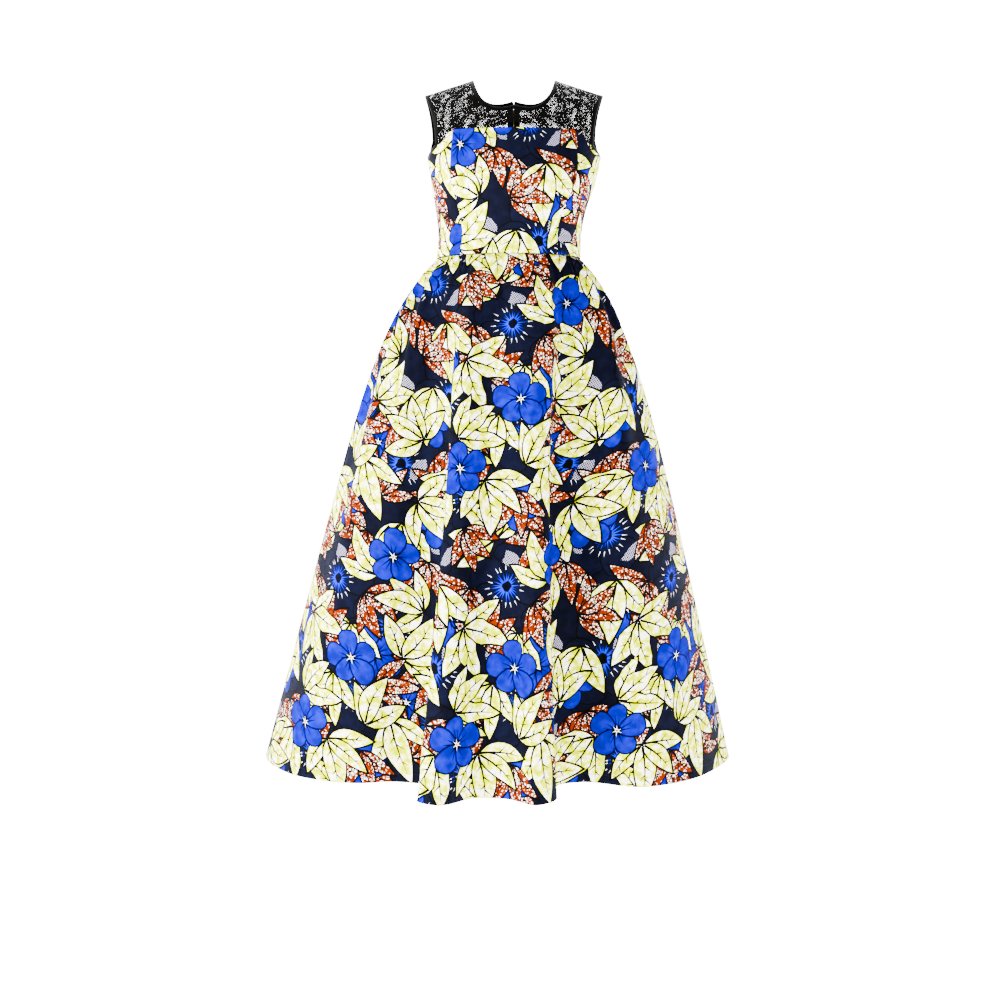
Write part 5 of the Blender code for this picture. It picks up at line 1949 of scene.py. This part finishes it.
def zip_teeth(finish: bpy.types.Material) -> bpy.types.Object:
    """The closed teeth between the zip's tapes, from under the slider to the zip's end."""
    levels = np.linspace(0, 2 * ZIP_END_LEVEL, 49)
    seam = skirt_point(np.full(levels.shape, centre_back_share()), levels, 1)
    heights = np.linspace(YOKE_SEAM, WAIST, 60)
    neck = np.linspace(NECK_DROP_BACK * 0.1, length_of(shoulder_height(0.0) - YOKE_SEAM), 60)
    upper = bodice_point(np.zeros(60), neck, 1)
    lower = lower_bodice_point(np.zeros(60), heights, 1)
    line = np.concatenate([upper, lower[1:], seam[1:]])
    line = line[np.argsort(-line[:, 2])]
    end = skirt_point(np.array([centre_back_share()]), np.array([ZIP_END_LEVEL]), 1)[0, 2] + 0.004
    start = SLIDER_HEIGHT - SLIDER_LENGTH / 2 - 0.0015
    at = np.arange(start, end, -TOOTH_PITCH / 2)
    middles = np.stack([np.interp(-at, -line[:, 2], line[:, axis]) for axis in range(2)] + [at], axis=-1)
    middles[:, 1] -= TAPE_INSET + 0.0004
    middles[:, 0] += 0.00035 * np.where(np.arange(len(at)) % 2, 1, -1)
    wide, deep, tall = (size / 2 for size in TOOTH)
    corner = np.array([(x, y, z) for x in (-wide, wide) for y in (-deep, deep) for z in (-tall, tall)])
    points = middles[:, None] + corner
    sides = ((0, 1, 3, 2), (4, 6, 7, 5), (0, 4, 5, 1), (2, 3, 7, 6), (0, 2, 6, 4), (1, 5, 7, 3))
    faces = [tuple(8 * index + i for i in side) for index in range(len(at)) for side in sides]
    made = mesh_object("zip_teeth", points.reshape(-1, 3), faces, [finish])
    made.data.set_sharp_from_angle(angle=math.radians(30))
    return made


def dress_nodes(nodes: dict[str, bpy.types.Object], palette: Palette) -> None:
    """Gives the zip's own solids their finishes."""
    for name in ("zip_tape_left", "zip_tape_right"):
        nodes[name].data.materials.clear()
        nodes[name].data.materials.append(palette.tape)
    for name in ("zip_slider", "zip_pull"):
        nodes[name].data.materials.clear()
        nodes[name].data.materials.append(palette.metal)


def declare(piece: Piece, made: bpy.types.Object) -> None:
    """Works out the outline of a piece's cut, and does nothing more with it."""
    border = piece.border()


class Stage:
    """Camera, lights and backdrop."""

    @staticmethod
    def camera() -> None:
        """The photograph's angle: level, in front, a little over half way down the dress."""
        data = bpy.data.cameras.new("photo_camera")
        data.sensor_width = SENSOR_WIDTH
        data.lens = LENS
        data.clip_end = 60.0
        camera = bpy.data.objects.new("photo_camera", data)
        camera.location = CAMERA_PLACE
        camera.rotation_euler = (math.pi / 2, 0, 0)
        bpy.context.scene.collection.objects.link(camera)
        bpy.context.scene.camera = camera

    @staticmethod
    def light(lamp: Lamp) -> None:
        """A soft square light aimed at the dress."""
        data = bpy.data.lights.new(lamp.name, "AREA")
        data.size = lamp.size
        data.energy = lamp.power
        made = bpy.data.objects.new(lamp.name, data)
        made.location = lamp.place
        aim = Vector((0.0, 0.0, lamp.aim_height)) - Vector(lamp.place)
        made.rotation_euler = aim.to_track_quat("-Z", "Y").to_euler()
        bpy.context.scene.collection.objects.link(made)

    def build(self) -> None:
        """Makes the whole stage."""
        self.camera()
        for lamp in LAMPS:
            self.light(lamp)
        bpy.context.scene.view_settings.look = "AgX - High Contrast"
        world = bpy.data.worlds.new("studio")
        bpy.context.scene.world = world
        world.use_nodes = True
        world.node_tree.nodes["Background"].inputs["Color"].default_value = (1.0, 1.0, 1.0, 1.0)
        world.node_tree.nodes["Background"].inputs["Strength"].default_value = WORLD_LIGHT
        self.backdrop()

    @staticmethod
    def backdrop() -> None:
        """A pale floor that curves up into a wall far behind."""
        turn = np.linspace(0, math.pi / 2, 13)
        curve = [(4.0 + 1.5 * math.sin(angle), -1.5 * math.cos(angle)) for angle in turn]
        profile = [(-5.0, -1.5), *curve, (5.5, 6.0)]
        points = [(x, y, z) for y, z in profile for x in (-9.0, 9.0)]
        faces = [(2 * i, 2 * i + 1, 2 * i + 3, 2 * i + 2) for i in range(len(profile) - 1)]
        mesh = bpy.data.meshes.new("studio_backdrop")
        mesh.from_pydata(points, [], faces)
        mesh.shade_smooth()
        finish = Finish("pale_backdrop_paper", 0.9)
        finish.shader.inputs["Base Color"].default_value = srgb("#f6f6f6")
        finish.shader.inputs["Emission Color"].default_value = (1.0, 1.0, 1.0, 1.0)
        finish.shader.inputs["Emission Strength"].default_value = BACKDROP_GLOW
        mesh.materials.append(finish.material)
        made = bpy.data.objects.new("studio_backdrop", mesh)
        bpy.context.scene.collection.objects.link(made)


def main() -> None:
    """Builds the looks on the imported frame."""
    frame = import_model()
    Stage().build()
    palette = Palette()
    motifs = Artist(PRINT_SEED).repeat()
    middle = centre_back_share()
    pieces = [
        skirt_piece("skirt_front", -1, -1.0, 1.0, (0.05, 0.02)),
        skirt_piece("skirt_back_left", 1, -1.0, middle, (0.21, 0.13)),
        skirt_piece("skirt_back_right", 1, middle, 1.0, (0.02, 0.31)),
        *bodice_pieces(),
    ]
    for piece in pieces:
        made = worked_piece(piece, repeated(motifs, piece.border(), piece.shift, REPEAT), palette)
        others = []
        if piece.node.startswith("skirt"):
            others = [hem_stitches(piece, palette.stitch), hem_turning(piece, palette.inks[Ink.GROUND])]
        declare(piece, made)
    lacemaker = Lacemaker(LACE_SEED)
    sprigs = lacemaker.repeat()
    for piece in yoke_pieces():
        border = piece.border()
        patches = lacemaker.net(border) + repeated(sprigs, border, piece.shift, LACE_REPEAT)
        declare(piece, worked_piece(piece, patches, palette))
    bindings(palette.binding)
    zip_teeth(palette.metal)
    dress_nodes(frame["nodes"], palette)


if __name__ == "__main__":
    main()
